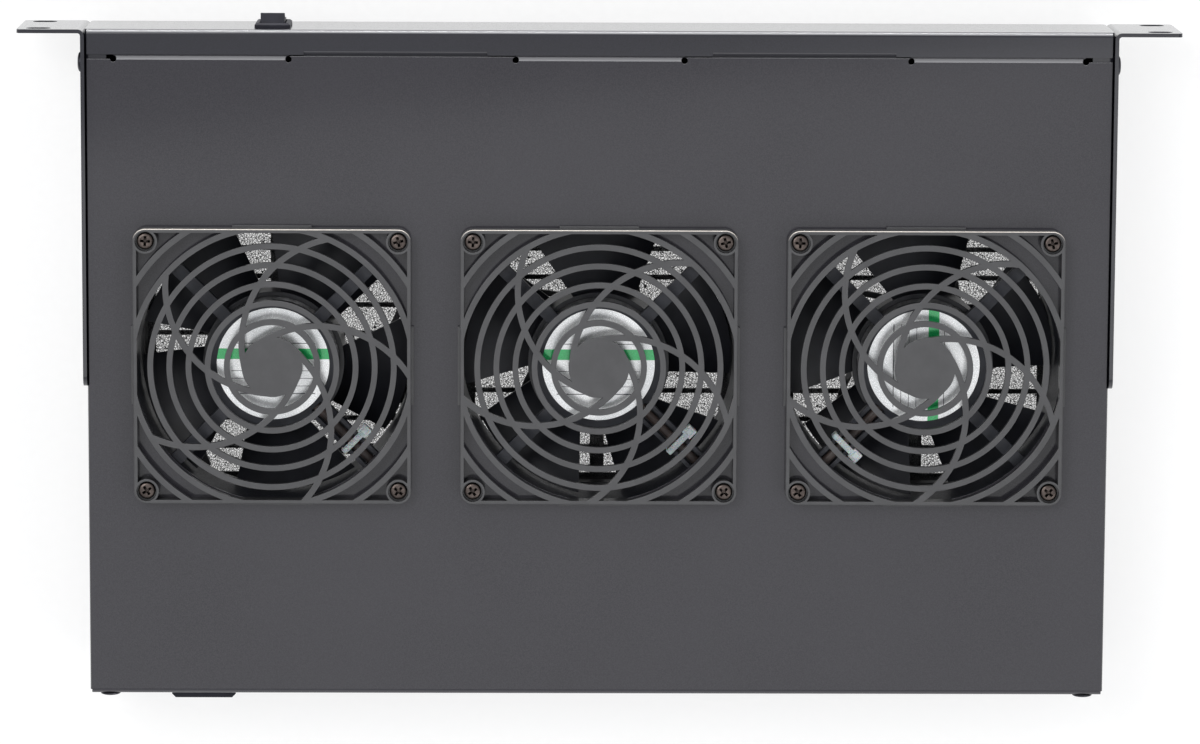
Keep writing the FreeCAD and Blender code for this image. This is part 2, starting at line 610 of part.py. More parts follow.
def build_chassis():
    """Folded tray: floor, sides with lid flanges, front panel with its strip, and rear wall."""
    body = start_body("chassis_tray")
    wall_in = TRAY_HALF - S.sheet
    flange_in = TRAY_HALF - S.side_flange
    flange_under = LID_UNDER - S.sheet
    section = start_sketch(body, "XZ_Plane", -FRONT)
    outline(section, [
        (-TRAY_HALF, BOTTOM), (TRAY_HALF, BOTTOM), (TRAY_HALF, LID_UNDER), (flange_in, LID_UNDER),
        (flange_in, flange_under), (wall_in, flange_under), (wall_in, FLOOR), (-wall_in, FLOOR),
        (-wall_in, flange_under), (-flange_in, flange_under), (-flange_in, LID_UNDER),
        (-TRAY_HALF, LID_UNDER)])
    pad(body, section, TRAY_REAR - FRONT, backwards=True)
    outer_corner = [(TRAY_HALF, BOTTOM), (TRAY_HALF, LID_UNDER)]
    inner_corner = [(wall_in, FLOOR), (wall_in, flange_under)]

    def at_corner(corners):
        def chosen(edge):
            middle = edge.CenterOfMass
            return runs_along(edge, 1) and any(
                near(abs(middle.x), x) and near(middle.z, z) for x, z in corners)
        return chosen

    round_edges(body, S.sheet + S.sheet_bend, at_corner(outer_corner))
    round_edges(body, S.sheet_bend, at_corner(inner_corner))

    # The front panel bends back into a strip along its top. The rear wall is plain.
    front = start_sketch(body, "YZ_Plane")
    inside = FRONT + S.sheet
    bent_outline(front, [
        (FRONT, BOTTOM, ZERO), (FRONT, TOP, S.sheet + S.sheet_bend), (SEAM, TOP, ZERO),
        (SEAM, LID_UNDER, ZERO), (inside, LID_UNDER, S.sheet_bend), (inside, BOTTOM, ZERO)])
    pad(body, front, LID_HALF * 2, both_ways=True)
    rear = start_sketch(body, "XZ_Plane", -TRAY_REAR)
    rectangle(rear, -wall_in, wall_in, BOTTOM, LID_UNDER)
    pad(body, rear, S.sheet)

    # The strip is notched where its tabs step down, and the rear edge clears the lid's bend.
    step = SEAM - S.tab_slope
    notches = start_sketch(body, "XY_Plane", TOP)
    rectangle(notches, S.strip_tab_start, S.strip_tab_end, step, SEAM + S.lid_fit)
    rectangle(notches, -S.strip_tab_end, -S.strip_tab_start, step, SEAM + S.lid_fit)
    pocket(body, notches, S.sheet)
    relief = start_sketch(body, "YZ_Plane")
    rectangle(relief, TRAY_REAR - S.sheet_bend, REAR, LID_UNDER - S.sheet_bend, TOP)
    pocket(body, relief, S.body_across, both_ways=True)
    for side in (-1, 1):
        middle = (S.strip_tab_start + S.strip_tab_end) / 2 * side
        tab = start_sketch(body, "YZ_Plane", middle)
        outline(tab, [
            (step - S.lid_fit, TOP), (step, TOP), (SEAM + S.lid_fit, LID_UNDER - S.lid_fit),
            (SEAM + S.tab_reach, LID_UNDER - S.lid_fit), (SEAM + S.tab_reach, flange_under - S.lid_fit),
            (SEAM - S.lid_fit, flange_under - S.lid_fit), (step - S.lid_fit * 2, LID_UNDER)])
        pad(body, tab, S.strip_tab_end - S.strip_tab_start, both_ways=True)

    # Openings: fans, switch, inlet and screws.
    floor_cuts = start_sketch(body, "XY_Plane", BOTTOM)
    add_fan_openings(floor_cuts)
    pocket(body, floor_cuts, S.sheet, backwards=True)
    switch_cut = start_sketch(body, "XZ_Plane", -FRONT)
    half = S.switch_body_width / 2 + S.cut_out_fit
    tall = S.switch_body_height / 2 + S.cut_out_fit
    middle = TOP - S.switch_drop
    rectangle(switch_cut, S.switch_x - half, S.switch_x + half, middle - tall, middle + tall)
    pocket(body, switch_cut, S.sheet)
    inlet_cut = start_sketch(body, "XZ_Plane", -TRAY_REAR)
    half = S.socket_width / 2 + S.inlet_body_wall + S.cut_out_fit
    tall = S.socket_height / 2 + S.inlet_body_wall + S.cut_out_fit
    middle = TOP - S.inlet_drop - S.inlet_height / 2
    rectangle(inlet_cut, S.inlet_x - half, S.inlet_x + half, middle - tall, middle + tall)
    pocket(body, inlet_cut, S.sheet, backwards=True)
    lid_holes = start_sketch(body, "XZ_Plane", -TRAY_REAR)
    for side in (-1, 1):
        hole = S.screw_radius + S.screw_grip
        circle(lid_holes, S.lid_screw_spacing / 2 * side, TOP - S.lid_screw_drop, hole)
    pocket(body, lid_holes, S.sheet, backwards=True)
    side_holes = start_sketch(body, "YZ_Plane")
    for y, z in arm_screw_places():
        circle(side_holes, y, z, S.screw_radius + S.screw_grip)
    pocket(body, side_holes, TRAY_HALF * 2 + S.sheet, both_ways=True)
    return keep(body)


def build_lid():
    """Top cover: flat lid with tabs under the front strip and a flange down the rear wall."""
    body = start_body("top_cover")
    step = LID_FRONT + S.tab_slope
    corner = LID_FRONT + S.lid_corner_step
    right_edge = [
        (LID_HALF, corner), (S.lid_tab_end, corner), (S.lid_tab_end, step), (S.lid_tab_start, step),
        (S.lid_tab_start, LID_FRONT), (S.centre_tab_half, LID_FRONT), (S.centre_tab_half, step)]
    left_edge = [(-x, y) for x, y in reversed(right_edge)]
    plate = start_sketch(body, "XY_Plane", LID_UNDER)
    outline(plate, [(-LID_HALF, REAR), (LID_HALF, REAR)] + right_edge + left_edge)
    pad(body, plate, S.sheet)
    rear = start_sketch(body, "XZ_Plane", -REAR)
    rectangle(rear, -LID_HALF, LID_HALF, TOP - S.rear_drop, TOP)
    pad(body, rear, S.sheet)

    def at_rear_corner(y, z):
        def chosen(edge):
            middle = edge.CenterOfMass
            return runs_along(edge, 0) and near(middle.y, y) and near(middle.z, z)
        return chosen

    round_edges(body, S.sheet + S.sheet_bend, at_rear_corner(REAR, TOP))
    round_edges(body, S.sheet_bend, at_rear_corner(REAR - S.sheet, LID_UNDER))

    # Three tabs step down and reach under the front strip.
    under = LID_UNDER - S.lid_fit
    spans = [(-S.lid_tab_end, -S.lid_tab_start), (-S.centre_tab_half, S.centre_tab_half),
             (S.lid_tab_start, S.lid_tab_end)]
    for left, right in spans:
        tab = start_sketch(body, "YZ_Plane", (left + right) / 2)
        outline(tab, [
            (step, TOP), (step + S.lid_fit, TOP), (step + S.lid_fit * 2, LID_UNDER),
            (LID_FRONT + S.lid_fit * 2, under - S.sheet), (SEAM - S.tab_reach, under - S.sheet),
            (SEAM - S.tab_reach, under), (LID_FRONT + S.lid_fit, under)])
        pad(body, tab, right - left, both_ways=True)

    # Relief notches beside the tabs, then the openings over the fans and the rear screw holes.
    notches = start_sketch(body, "XY_Plane", TOP)
    for x in (S.centre_tab_half, S.lid_tab_start, S.lid_tab_end):
        for side in (-1, 1):
            circle(notches, x * side, LID_FRONT + S.relief_radius, S.relief_radius)
    pocket(body, notches, S.sheet * 3)
    openings = start_sketch(body, "XY_Plane", TOP)
    add_fan_openings(openings)
    pocket(body, openings, S.sheet)
    screws = start_sketch(body, "XZ_Plane", -REAR)
    for side in (-1, 1):
        hole = S.screw_radius + S.screw_clearance
        circle(screws, S.lid_screw_spacing / 2 * side, TOP - S.lid_screw_drop, hole)
    pocket(body, screws, S.sheet, backwards=True)
    return keep(body)


def build_bracket(label, side):
    """L-shaped rack bracket: an ear with two slots and an arm along the tray."""
    body = start_body(label)
    outside = S.body_across / 2
    tip = S.panel_width / 2
    arm_end = FRONT + S.arm_length
    section = start_sketch(body, "XY_Plane")
    corners = [(TRAY_HALF, FRONT), (tip, FRONT), (tip, ZERO), (outside, ZERO),
               (outside, arm_end), (TRAY_HALF, arm_end)]
    outline(section, [(x * side, y) for x, y in corners])
    pad(body, section, S.panel_height, both_ways=True)

    def upright_at(x, y):
        def chosen(edge):
            middle = edge.CenterOfMass
            return runs_along(edge, 2) and near(abs(middle.x), x) and near(middle.y, y)
        return chosen

    round_edges(body, S.bracket_sheet + S.bracket_bend, upright_at(TRAY_HALF, FRONT))
    round_edges(body, S.bracket_bend, upright_at(outside, ZERO))
    round_edges(body, S.arm_corner, lambda edge: runs_along(edge, 0)
                and near(edge.CenterOfMass.y, arm_end))
    round_edges(body, S.ear_corner, lambda edge: runs_along(edge, 1)
                and near(abs(edge.CenterOfMass.x), tip))
    slots = start_sketch(body, "XZ_Plane")
    for up in (-1, 1):
        slot(slots, S.slot_spacing_x / 2 * side, S.slot_spacing_z / 2 * up, S.slot_length, S.slot_width)
    pocket(body, slots, S.bracket_sheet * 2, both_ways=True)
    holes = start_sketch(body, "YZ_Plane", (outside - S.bracket_sheet) * side)
    for y, z in arm_screw_places():
        circle(holes, y, z, S.screw_radius + S.screw_clearance)
    pocket(body, holes, S.bracket_sheet * 2, both_ways=True)
    rear = arm_screw_places()[-1][0]
    round_edges(body, S.countersink, lambda edge: isinstance(edge.Curve, Part.Circle)
                and near(abs(edge.CenterOfMass.x), outside)
                and near(edge.CenterOfMass.y, rear), "Chamfer")
    return keep(body)


def turned(label, corners):
    """A solid of revolution about Z from the corners of its section."""
    body = start_body(label)
    profile = start_sketch(body, "XZ_Plane")
    outline(profile, corners)
    close_sketch(profile)
    turn = body.newObject("PartDesign::Revolution", label + "_turn")
    turn.Profile = profile
    turn.ReferenceAxis = (profile, ["V_Axis"])
    turn.Angle = 360
    body.Tip = turn
    return body


def pan_screw(label, head_radius, head_height, shank_length):
    """A screw along Z: head above the origin, shank below it."""
    return turned(label, [
        (ZERO, -shank_length), (S.screw_radius, -shank_length), (S.screw_radius, ZERO),
        (head_radius, ZERO), (head_radius, head_height * S.pan_head_rim),
        (head_radius * S.pan_head_crown, head_height), (ZERO, head_height)])


def flush_screw(label, head_radius, shank_length):
    """A countersunk screw along Z, whose flat head ends at the origin."""
    return turned(label, [
        (ZERO, -shank_length), (S.screw_radius, -shank_length),
        (S.screw_radius, S.screw_radius - head_radius), (head_radius, ZERO), (ZERO, ZERO)])


def build_bracket_screws():
    """Two pan heads at the front of each bracket and two flush ones at its rear."""
    screws = []
    for side in (-1, 1):
        for number, (y, z) in enumerate(arm_screw_places()):
            label = f"bracket_screw_{'left' if side < 0 else 'right'}_{number}"
            if number < 2:
                screw = pan_screw(label, S.pan_head_radius, S.pan_head_height, S.pan_screw_length)
            else:
                screw = flush_screw(label, S.flush_head_radius, S.pan_screw_length)
            place(screw, S.body_across / 2 * side, y, z, 90.0 * side, V(0, 1, 0))
            screws.append(screw)
    return keep(group("bracket_screws", screws))


def build_lid_screws():
    screws = []
    for side in (-1, 1):
        screw = pan_screw(f"lid_screw_{'left' if side < 0 else 'right'}",
                          S.pan_head_radius, S.pan_head_height, S.pan_screw_length)
        place(screw, S.lid_screw_spacing / 2 * side, REAR, TOP - S.lid_screw_drop, -90.0, X_AXIS)
        screws.append(screw)
    return keep(group("rear_lid_screws", screws))


# ---------------------------------------------------------------- fans
BASE_TOP = FAN_TOP - S.motor_base_sink
BASE_UNDER = BASE_TOP - S.motor_base_height
STRUT_UNDER = BASE_TOP - S.strut_height
TUBE_END = BASE_UNDER - S.tube_length
CORE_INNER = S.stator_radius + S.air_gap
CORE_OUTER = CORE_INNER + S.core_wall
HUB_INNER = CORE_OUTER + S.press_gap
HUB_RADIUS = HUB_INNER + S.hub_wall
HUB_TOP = BASE_UNDER - S.hub_clearance
HUB_BOTTOM = FAN_BOTTOM + S.hub_rise
STATOR_MIDDLE = (HUB_TOP + HUB_BOTTOM + S.hub_floor) / 2
LEAD_ANGLE = 135.0


def build_fan_frame(label, side, turn):
    """Die-cast frame: two square flanges, the duct, four struts and the motor base."""
    body = start_body(label)
    half = S.fan_size / 2
    for z in (FAN_BOTTOM, FAN_TOP - S.fan_flange):
        flange = start_sketch(body, "XY_Plane", z)
        rounded_square(flange, half, half, S.fan_corner)
        circle(flange, ZERO, ZERO, S.fan_bore)
        for sx, sy in corner_signs():
            hole = S.screw_radius + S.screw_grip
            circle(flange, S.fan_hole_spacing / 2 * sx, S.fan_hole_spacing / 2 * sy, hole)
        pad(body, flange, S.fan_flange)
    duct = start_sketch(body, "XY_Plane", FAN_BOTTOM)
    circle(duct, ZERO, ZERO, S.fan_bore)
    circle(duct, ZERO, ZERO, S.fan_bore + S.fan_wall)
    pad(body, duct, S.fan_depth)
    base = start_sketch(body, "XY_Plane", BASE_UNDER)
    circle(base, ZERO, ZERO, S.motor_base_radius)
    pad(body, base, S.motor_base_height)

    # Three plain struts and, towards the rear left, the wider one that carries the leads.
    inside = S.motor_base_radius - S.strut_width
    outside = S.fan_bore + S.fan_wall / 2
    for angle in (45.0, -45.0, -135.0, LEAD_ANGLE):
        width = S.channel_width if angle == LEAD_ANGLE else S.strut_width
        strut = start_sketch(body, "XY_Plane", STRUT_UNDER, angle)
        rectangle(strut, inside, outside, -width / 2, width / 2)
        pad(body, strut, S.strut_height)
    groove = start_sketch(body, "XY_Plane", STRUT_UNDER + S.channel_floor, LEAD_ANGLE)
    groove_half = S.channel_width / 2 - S.channel_wall
    notch_end = S.fan_bore + S.fan_wall + S.notch_reach
    rectangle(groove, S.label_radius + S.channel_wall, notch_end, -groove_half, groove_half)
    pocket(body, groove, S.strut_height * 2, backwards=True)
    notch = start_sketch(body, "XY_Plane", STRUT_UNDER + S.channel_floor - S.notch_drop, LEAD_ANGLE)
    rectangle(notch, S.fan_bore - S.fan_wall / 4, notch_end, -groove_half, groove_half)
    pocket(body, notch, S.strut_height * 2, backwards=True)

    tube = start_sketch(body, "XY_Plane", BASE_UNDER)
    circle(tube, ZERO, ZERO, S.tube_radius)
    pad(body, tube, S.tube_length, backwards=True)
    tube_bore = start_sketch(body, "XY_Plane", TUBE_END)
    circle(tube_bore, ZERO, ZERO, S.bearing_radius + S.press_gap)
    pocket(body, tube_bore, S.tube_length, backwards=True)
    label_pocket = start_sketch(body, "XY_Plane", BASE_TOP)
    circle(label_pocket, ZERO, ZERO, S.label_radius + S.press_gap)
    pocket(body, label_pocket, S.label_sink)
    place(body, fan_centre(side), FAN_Y, ZERO, turn)
    return keep(body)


def build_bearings():
    """Two ball bearings in each fan's tube."""
    rings = []
    for name, side, _ in FAN_SIDES:
        for z in (TUBE_END, BASE_UNDER - S.bearing_width):
            number = len(rings)
            race = solid_cylinder(f"race_{number}", fan_centre(side), FAN_Y, z,
                                  S.bearing_radius, S.bearing_width)
            bore = solid_cylinder(f"race_bore_{number}", fan_centre(side), FAN_Y, z,
                                  S.shaft_radius + S.shaft_running, S.bearing_width)
            rings.append(cut(f"bearing_{number}", race, bore))
    return keep(group("fan_bearings", rings))


def build_stator(label, side):
    """Laminated stator with its two rings of windings, on the bearing tube."""
    middle = STATOR_MIDDLE
    iron = solid_cylinder(label + "_iron", ZERO, ZERO, middle - S.stator_height / 2,
                          S.stator_radius, S.stator_height)
    coil_low = solid_cylinder(label + "_coil", ZERO, ZERO,
                              middle - S.stator_height / 2 - S.coil_height,
                              S.stator_radius - S.coil_height, S.stator_height + S.coil_height * 2)
    bore = solid_cylinder(label + "_bore", ZERO, ZERO, middle - S.stator_height,
                          S.tube_radius + S.press_gap, S.stator_height * 2)
    stator = cut(label, join(label + "_whole", [iron, coil_low]), bore)
    return keep(place(stator, fan_centre(side), FAN_Y))


def build_shaft_and_core(name, side):
    shaft = solid_cylinder(f"{name}_rotor_shaft", fan_centre(side), FAN_Y, HUB_BOTTOM,
                           S.shaft_radius, BASE_UNDER - S.press_gap - HUB_BOTTOM)
    shaft.Label = f"{name}_rotor_shaft"
    keep(shaft)
    low = STATOR_MIDDLE - S.stator_height / 2
    ring = solid_cylinder(f"{name}_core_ring", fan_centre(side), FAN_Y, low, CORE_OUTER, S.stator_height)
    bore = solid_cylinder(f"{name}_core_bore", fan_centre(side), FAN_Y, low, CORE_INNER, S.stator_height)
    keep(cut(f"{name}_rotor_core", ring, bore))


def blade_section(distance, low, thickness):
    """A blade's closed section in the plane x = distance: a helix seen from the axis."""
    half_span = math.radians(S.blade_span.value / 2)
    rise = S.blade_height.value

    def at(fraction, lift):
        angle = half_span * fraction
        return V(distance, distance * math.tan(angle), low + rise * (fraction + 1) / 2 + lift)

    lower = Part.Arc(at(-1, 0), at(0, -thickness / 2), at(1, 0)).toShape()
    upper = Part.Arc(at(1, thickness / 2), at(0, thickness), at(-1, thickness / 2)).toShape()
    ends = [Part.makeLine(at(1, 0), at(1, thickness / 2)), Part.makeLine(at(-1, thickness / 2), at(-1, 0))]
    return Part.Wire([lower, ends[0], upper, ends[1]])


def blade_solid():
    """One blade, ruled from inside the hub to beyond the tip and trimmed to the tip's radius."""
    low = FAN_BOTTOM.value + S.blade_base.value
    tip = (S.fan_bore - S.tip_gap).value
    root_plane = (HUB_RADIUS * S.blade_root_plane).value
    tip_plane = tip * S.blade_tip_plane.value
    root = blade_section(root_plane, low, S.blade_root_thickness.value)
    outer = blade_section(tip_plane, low, S.blade_tip_thickness.value)
    outer.rotate(V(0, 0, 0), Z_AXIS, S.blade_sweep.value)
    blade = Part.makeLoft([root, outer], True, True)
    reach = Part.makeCylinder(tip, S.fan_depth.value, V(0, 0, FAN_BOTTOM.value))
    well = Part.makeCylinder((HUB_INNER + S.hub_wall / 2).value, S.fan_depth.value, V(0, 0, FAN_BOTTOM.value))
    return blade.common(reach).cut(well)


def build_impeller(name, side, phase):
    """Hub cup with a shaft boss and five helical blades."""
    label = f"{name}_impeller"
    cup = Part.makeCylinder(HUB_RADIUS.value, (HUB_TOP - HUB_BOTTOM).value, V(0, 0, HUB_BOTTOM.value))
    floor_top = (HUB_BOTTOM + S.hub_floor).value
    hollow = Part.makeCylinder(HUB_INNER.value, (HUB_TOP - HUB_BOTTOM).value, V(0, 0, floor_top))
    boss_height = (TUBE_END - S.hub_clearance / 2).value - floor_top
    boss = Part.makeCylinder(S.boss_radius.value, boss_height, V(0, 0, floor_top))
    bore_radius = (S.shaft_radius + S.screw_grip).value
    bore = Part.makeCylinder(bore_radius, S.fan_depth.value, V(0, 0, HUB_BOTTOM.value))
    shape = cup.cut(hollow).fuse(boss)
    blade = blade_solid()
    count = int(S.blade_count.value)
    for number in range(count):
        next_blade = blade.copy()
        next_blade.rotate(V(0, 0, 0), Z_AXIS, 360.0 / count * number)
        shape = shape.fuse(next_blade)
    impeller = custom(label, shape.cut(bore).removeSplitter())
    return keep(place(impeller, fan_centre(side), FAN_Y, ZERO, phase))


def build_label(name, side):
    disc = solid_cylinder(f"{name}_hub_label", fan_centre(side), FAN_Y, BASE_TOP - S.label_sink,
                          S.label_radius, S.label_sheet)
    disc.Label = f"{name}_hub_label"
    return keep(disc)


# ---------------------------------------------------------------- guards and filters
def add_boss_circles(sketch, radius):
    for sx, sy in corner_signs():
        circle(sketch, S.fan_hole_spacing / 2 * sx, S.fan_hole_spacing / 2 * sy, radius)


def build_grille(label, ring_numbers):
    """Square plastic grille on a low wall: closed disc, rings, five spiral arms, four bosses.

    Local frame: z is 0 on the sheet and grows outwards.
    """
    body = start_body(label)
    half = S.guard_size / 2
    bars_from = S.guard_height - S.bar_depth
    disc = start_sketch(body, "XY_Plane", bars_from)
    circle(disc, ZERO, ZERO, S.disc_radius)
    pad(body, disc, S.bar_depth)

    # One spiral arm: a stretch of a ring whose centre is off the guard's own centre.
    arm = start_sketch(body, "XY_Plane", bars_from, S.arm_phase.value)
    bind(arm, "AttachmentOffset.Rotation.Angle", S.arm_phase)
    start, end = math.radians(S.arm_from.value), math.radians(S.arm_to.value)
    centre = V(S.arm_offset.value, 0, 0)
    radii = (S.arm_radius - S.arm_width / 2, S.arm_radius + S.arm_width / 2)
    arcs = []
    for radius in radii:
        arc = Part.ArcOfCircle(Part.Circle(centre, Z_AXIS, radius.value), start, end)
        arcs.append(arm.addGeometry(arc, False))
        hold_point(arm, arcs[-1], 3, S.arm_offset, ZERO)
        hold(arm, "Radius", arcs[-1], radius)
    for point in (1, 2):
        across = Part.LineSegment(arm.getPoint(arcs[0], point), arm.getPoint(arcs[1], point))
        line = arm.addGeometry(across, False)
        for end_of_line, radius in zip((1, 2), radii):
            tie(arm, "Coincident", line, end_of_line, arcs[end_of_line - 1], point)
            if point == 1:
                hold(arm, "DistanceX", arcs[0], 3, line, end_of_line, radius * cosine(S.arm_from))
            else:
                hold(arm, "DistanceY", arcs[0], 3, line, end_of_line, radius * sine(S.arm_to))
    arm_pad = pad(body, arm, S.bar_depth)
    arms = body.newObject("PartDesign::PolarPattern", label + "_arms")
    arms.Originals = [arm_pad]
    arms.Axis = (next(part for part in body.Origin.OriginFeatures if part.Role == "Z_Axis"), [""])
    arms.Angle = 360
    bind(arms, "Occurrences", S.arm_count)
    body.Tip = arms

    rings = start_sketch(body, "XY_Plane", bars_from)
    for number in ring_numbers:
        middle = S.first_ring + S.ring_pitch * number
        circle(rings, ZERO, ZERO, middle - S.ring_width / 2)
        circle(rings, ZERO, ZERO, middle + S.ring_width / 2)
    pad(body, rings, S.bar_depth)

    # What lies outside the square is cut away, then the wall and the bosses go round it.
    trim = start_sketch(body, "XY_Plane", ZERO)
    circle(trim, ZERO, ZERO, S.guard_size)
    rounded_square(trim, half - S.guard_wall / 2, half - S.guard_wall / 2, S.guard_corner - S.guard_wall / 2)
    pocket(body, trim, S.guard_height * 2, both_ways=False, backwards=True)
    wall = start_sketch(body, "XY_Plane", ZERO)
    rounded_square(wall, half, half, S.guard_corner)
    rounded_square(wall, half - S.guard_wall, half - S.guard_wall, S.guard_corner - S.guard_wall)
    pad(body, wall, S.guard_height)
    bosses = start_sketch(body, "XY_Plane", ZERO)
    add_boss_circles(bosses, S.guard_boss)
    pad(body, bosses, S.guard_height)

    def on_face_rim(edge):
        middle = edge.CenterOfMass
        if not near(middle.z, S.guard_height):
            return False
        if isinstance(edge.Curve, Part.Circle):
            return near(edge.Curve.Radius, S.guard_corner)
        return near(max(abs(middle.x), abs(middle.y)), half)

    round_edges(body, S.guard_edge, on_face_rim)
    recess = start_sketch(body, "XY_Plane", S.guard_height)
    add_boss_circles(recess, S.counterbore_radius)
    pocket(body, recess, S.counterbore_depth)
    holes = start_sketch(body, "XY_Plane", S.guard_height)
    add_boss_circles(holes, S.screw_radius + S.screw_clearance)
    pocket(body, holes, S.guard_height)
    latches = start_sketch(body, "XY_Plane", ZERO)
    reach = half + S.latch_reach
    root = half - S.guard_wall / 2
    along = S.latch_length / 2
    for side in (-1, 1):
        start, end = root * side, reach * side
        outline(latches, [(start, -along), (end, -along), (end, along), (start, along)])
        outline(latches, [(-along, start), (along, start), (along, end), (-along, end)])
    pad(body, latches, S.latch_height)
    return body


def build_guard(name, side, turn):
    guard = build_grille(f"{name}_finger_guard", range(7))
    return keep(place(guard, fan_centre(side), FAN_Y, TOP, turn))


def build_filter(name, side):
    """Under the tray: filter base, foam on it, and a slotted cover clipped over both."""
    base = build_grille(f"{name}_filter_base", (1, 6))
    place(base, fan_centre(side), FAN_Y, BOTTOM, 180.0, X_AXIS)
    keep(base)

    foam_from = BOTTOM - S.guard_height
    foam = solid_box(f"{name}_filter_foam", fan_centre(side) - S.foam_size / 2, FAN_Y - S.foam_size / 2,
                     foam_from - S.foam_thickness, S.foam_size, S.foam_size, S.foam_thickness)
    foam.Label = f"{name}_filter_foam"
    keep(foam)

    cover = start_body(f"{name}_filter_cover")
    inner = S.guard_size / 2 + S.filter_fit
    outer = inner + S.filter_wall
    face_from = S.guard_height + S.foam_thickness
    face = start_sketch(cover, "XY_Plane", face_from)
    rounded_square(face, outer, outer, S.guard_corner + S.filter_fit + S.filter_wall)
    pad(cover, face, S.filter_face)
    skirt_from = S.latch_height + S.filter_fit
    skirt = start_sketch(cover, "XY_Plane", skirt_from)
    rounded_square(skirt, outer, outer, S.guard_corner + S.filter_fit + S.filter_wall)
    rounded_square(skirt, inner, inner, S.guard_corner + S.filter_fit)
    pad(cover, skirt, face_from - skirt_from)
    rows = int((S.foam_size - S.vent_width).value / 2 / S.vent_pitch.value)
    lowest = S.vent_pitch * -rows
    vents = start_sketch(cover, "XY_Plane", face_from)
    for column in (-1, 1):
        near_end = S.vent_spine / 2 * column
        far_end = (S.vent_spine / 2 + S.vent_length) * column
        rectangle(vents, near_end, far_end, lowest - S.vent_width / 2, lowest + S.vent_width / 2)
    first_row = pocket(cover, vents, S.filter_face, backwards=True)
    pattern = cover.newObject("PartDesign::LinearPattern", cover.Label + "_vents")
    pattern.Originals = [first_row]
    pattern.Direction = (next(part for part in cover.Origin.OriginFeatures if part.Role == "Y_Axis"), [""])
    pattern.Occurrences = rows * 2 + 1
    bind(pattern, "Length", S.vent_pitch * rows * 2)
    cover.Tip = pattern
    place(cover, fan_centre(side), FAN_Y, BOTTOM, 180.0, X_AXIS)
    return keep(cover)


def build_guard_screws(label, name_part, side, upward):
    """Four screws through a guard or filter base into a fan's flange."""
    seat = S.guard_height - S.counterbore_depth
    length = seat + S.sheet + S.fan_seat_gap + S.fan_flange + S.guard_screw_end
    screws = []
    for number, (sx, sy) in enumerate(corner_signs()):
        screw = pan_screw(f"{name_part}_{number}", S.guard_screw_head, S.guard_screw_head_height, length)
        x = fan_centre(side) + S.fan_hole_spacing / 2 * sx
        y = FAN_Y + S.fan_hole_spacing / 2 * sy
        if upward:
            place(screw, x, y, TOP + seat)
        else:
            place(screw, x, y, BOTTOM - seat, 180.0, X_AXIS)
        screws.append(screw)
    return keep(group(label, screws))


# ---------------------------------------------------------------- switch and inlet
SWITCH_Z = TOP - S.switch_drop
BEZEL_FACE = FRONT - S.bezel_depth
PIVOT_Y = BEZEL_FACE + S.rocker_rise - S.rocker_proud


def build_switch():
    """Push-in rocker switch: housing with bezel, rocker on two pins, and two terminals."""
    x, z = S.switch_x, SWITCH_Z
    bezel = solid_box("switch_bezel", x - S.bezel_width / 2, BEZEL_FACE, z - S.bezel_height / 2,
                      S.bezel_width, S.bezel_depth, S.bezel_height)
    bevelled = doc.addObject("Part::Chamfer", "switch_bevel")
    bevelled.Base = bezel
    doc.recompute()
    edges = [i for i, edge in enumerate(bezel.Shape.Edges, start=1) if near(edge.CenterOfMass.y, BEZEL_FACE)]
    bevelled.Edges = [(i, S.bezel_chamfer.value, S.bezel_chamfer.value) for i in edges]
    barrel = solid_box("switch_barrel", x - S.switch_body_width / 2, FRONT, z - S.switch_body_height / 2,
                       S.switch_body_width, S.switch_body_depth, S.switch_body_height)
    opening = S.rocker_width / 2 + S.rocker_fit
    tall = S.rocker_radius + S.rocker_fit
    well_depth = PIVOT_Y - BEZEL_FACE + S.rocker_back + S.rocker_radius / 3
    well = solid_box("switch_well", x - opening, BEZEL_FACE, z - tall, opening * 2, well_depth, tall * 2)
    holes = solid_cylinder("switch_pivot_holes", x - opening - S.rocker_pin_reach, PIVOT_Y, z,
                           S.rocker_pin + S.pin_running, (opening + S.rocker_pin_reach) * 2,
                           90.0, V(0, 1, 0))
    keep(cut("switch_housing", join("switch_block", [bevelled, barrel]), well, holes))

    # The rocker: a sector about its pivot, with a shallow V for its face, tipped to one side.
    angle = S.rocker_angle
    reach = S.rocker_radius
    tip_y = S.rocker_rise + sine(angle) * reach
    body = start_body("switch_rocker")
    profile = start_sketch(body, "YZ_Plane")
    outline(profile, [
        (-S.rocker_rise, ZERO), (-tip_y, -reach * cosine(angle)), (S.rocker_back / 2, -reach * cosine(angle)),
        (S.rocker_back, -reach / 2), (S.rocker_back, reach / 2), (S.rocker_back / 2, reach * cosine(angle)),
        (-tip_y, reach * cosine(angle))])
    pad(body, profile, S.rocker_width, both_ways=True)
    pins = start_sketch(body, "YZ_Plane")
    circle(pins, ZERO, ZERO, S.rocker_pin)
    pin_length = S.rocker_fit + S.rocker_pin_reach - S.rocker_pin_gap
    pad(body, pins, S.rocker_width + pin_length * 2, both_ways=True)
    place(body, x, PIVOT_Y, z, S.rocker_angle.value, X_AXIS)
    keep(body)

    back = FRONT + S.switch_body_depth
    blades = []
    for sign in (-1, 1):
        name = "upper" if sign > 0 else "lower"
        blades.append(solid_box(f"switch_terminal_{name}", x - S.terminal_width / 2, back,
                                z + S.terminal_spacing / 2 * sign - S.terminal_sheet / 2,
                                S.terminal_width, S.terminal_length, S.terminal_sheet))
    keep(group("switch_terminals", blades))


INLET_Z = TOP - S.inlet_drop - S.inlet_height / 2
INLET_FACE = TRAY_REAR + S.inlet_reach + S.sheet
SOCKET_END = INLET_FACE - S.socket_depth
INLET_BACK = SOCKET_END - S.inlet_back


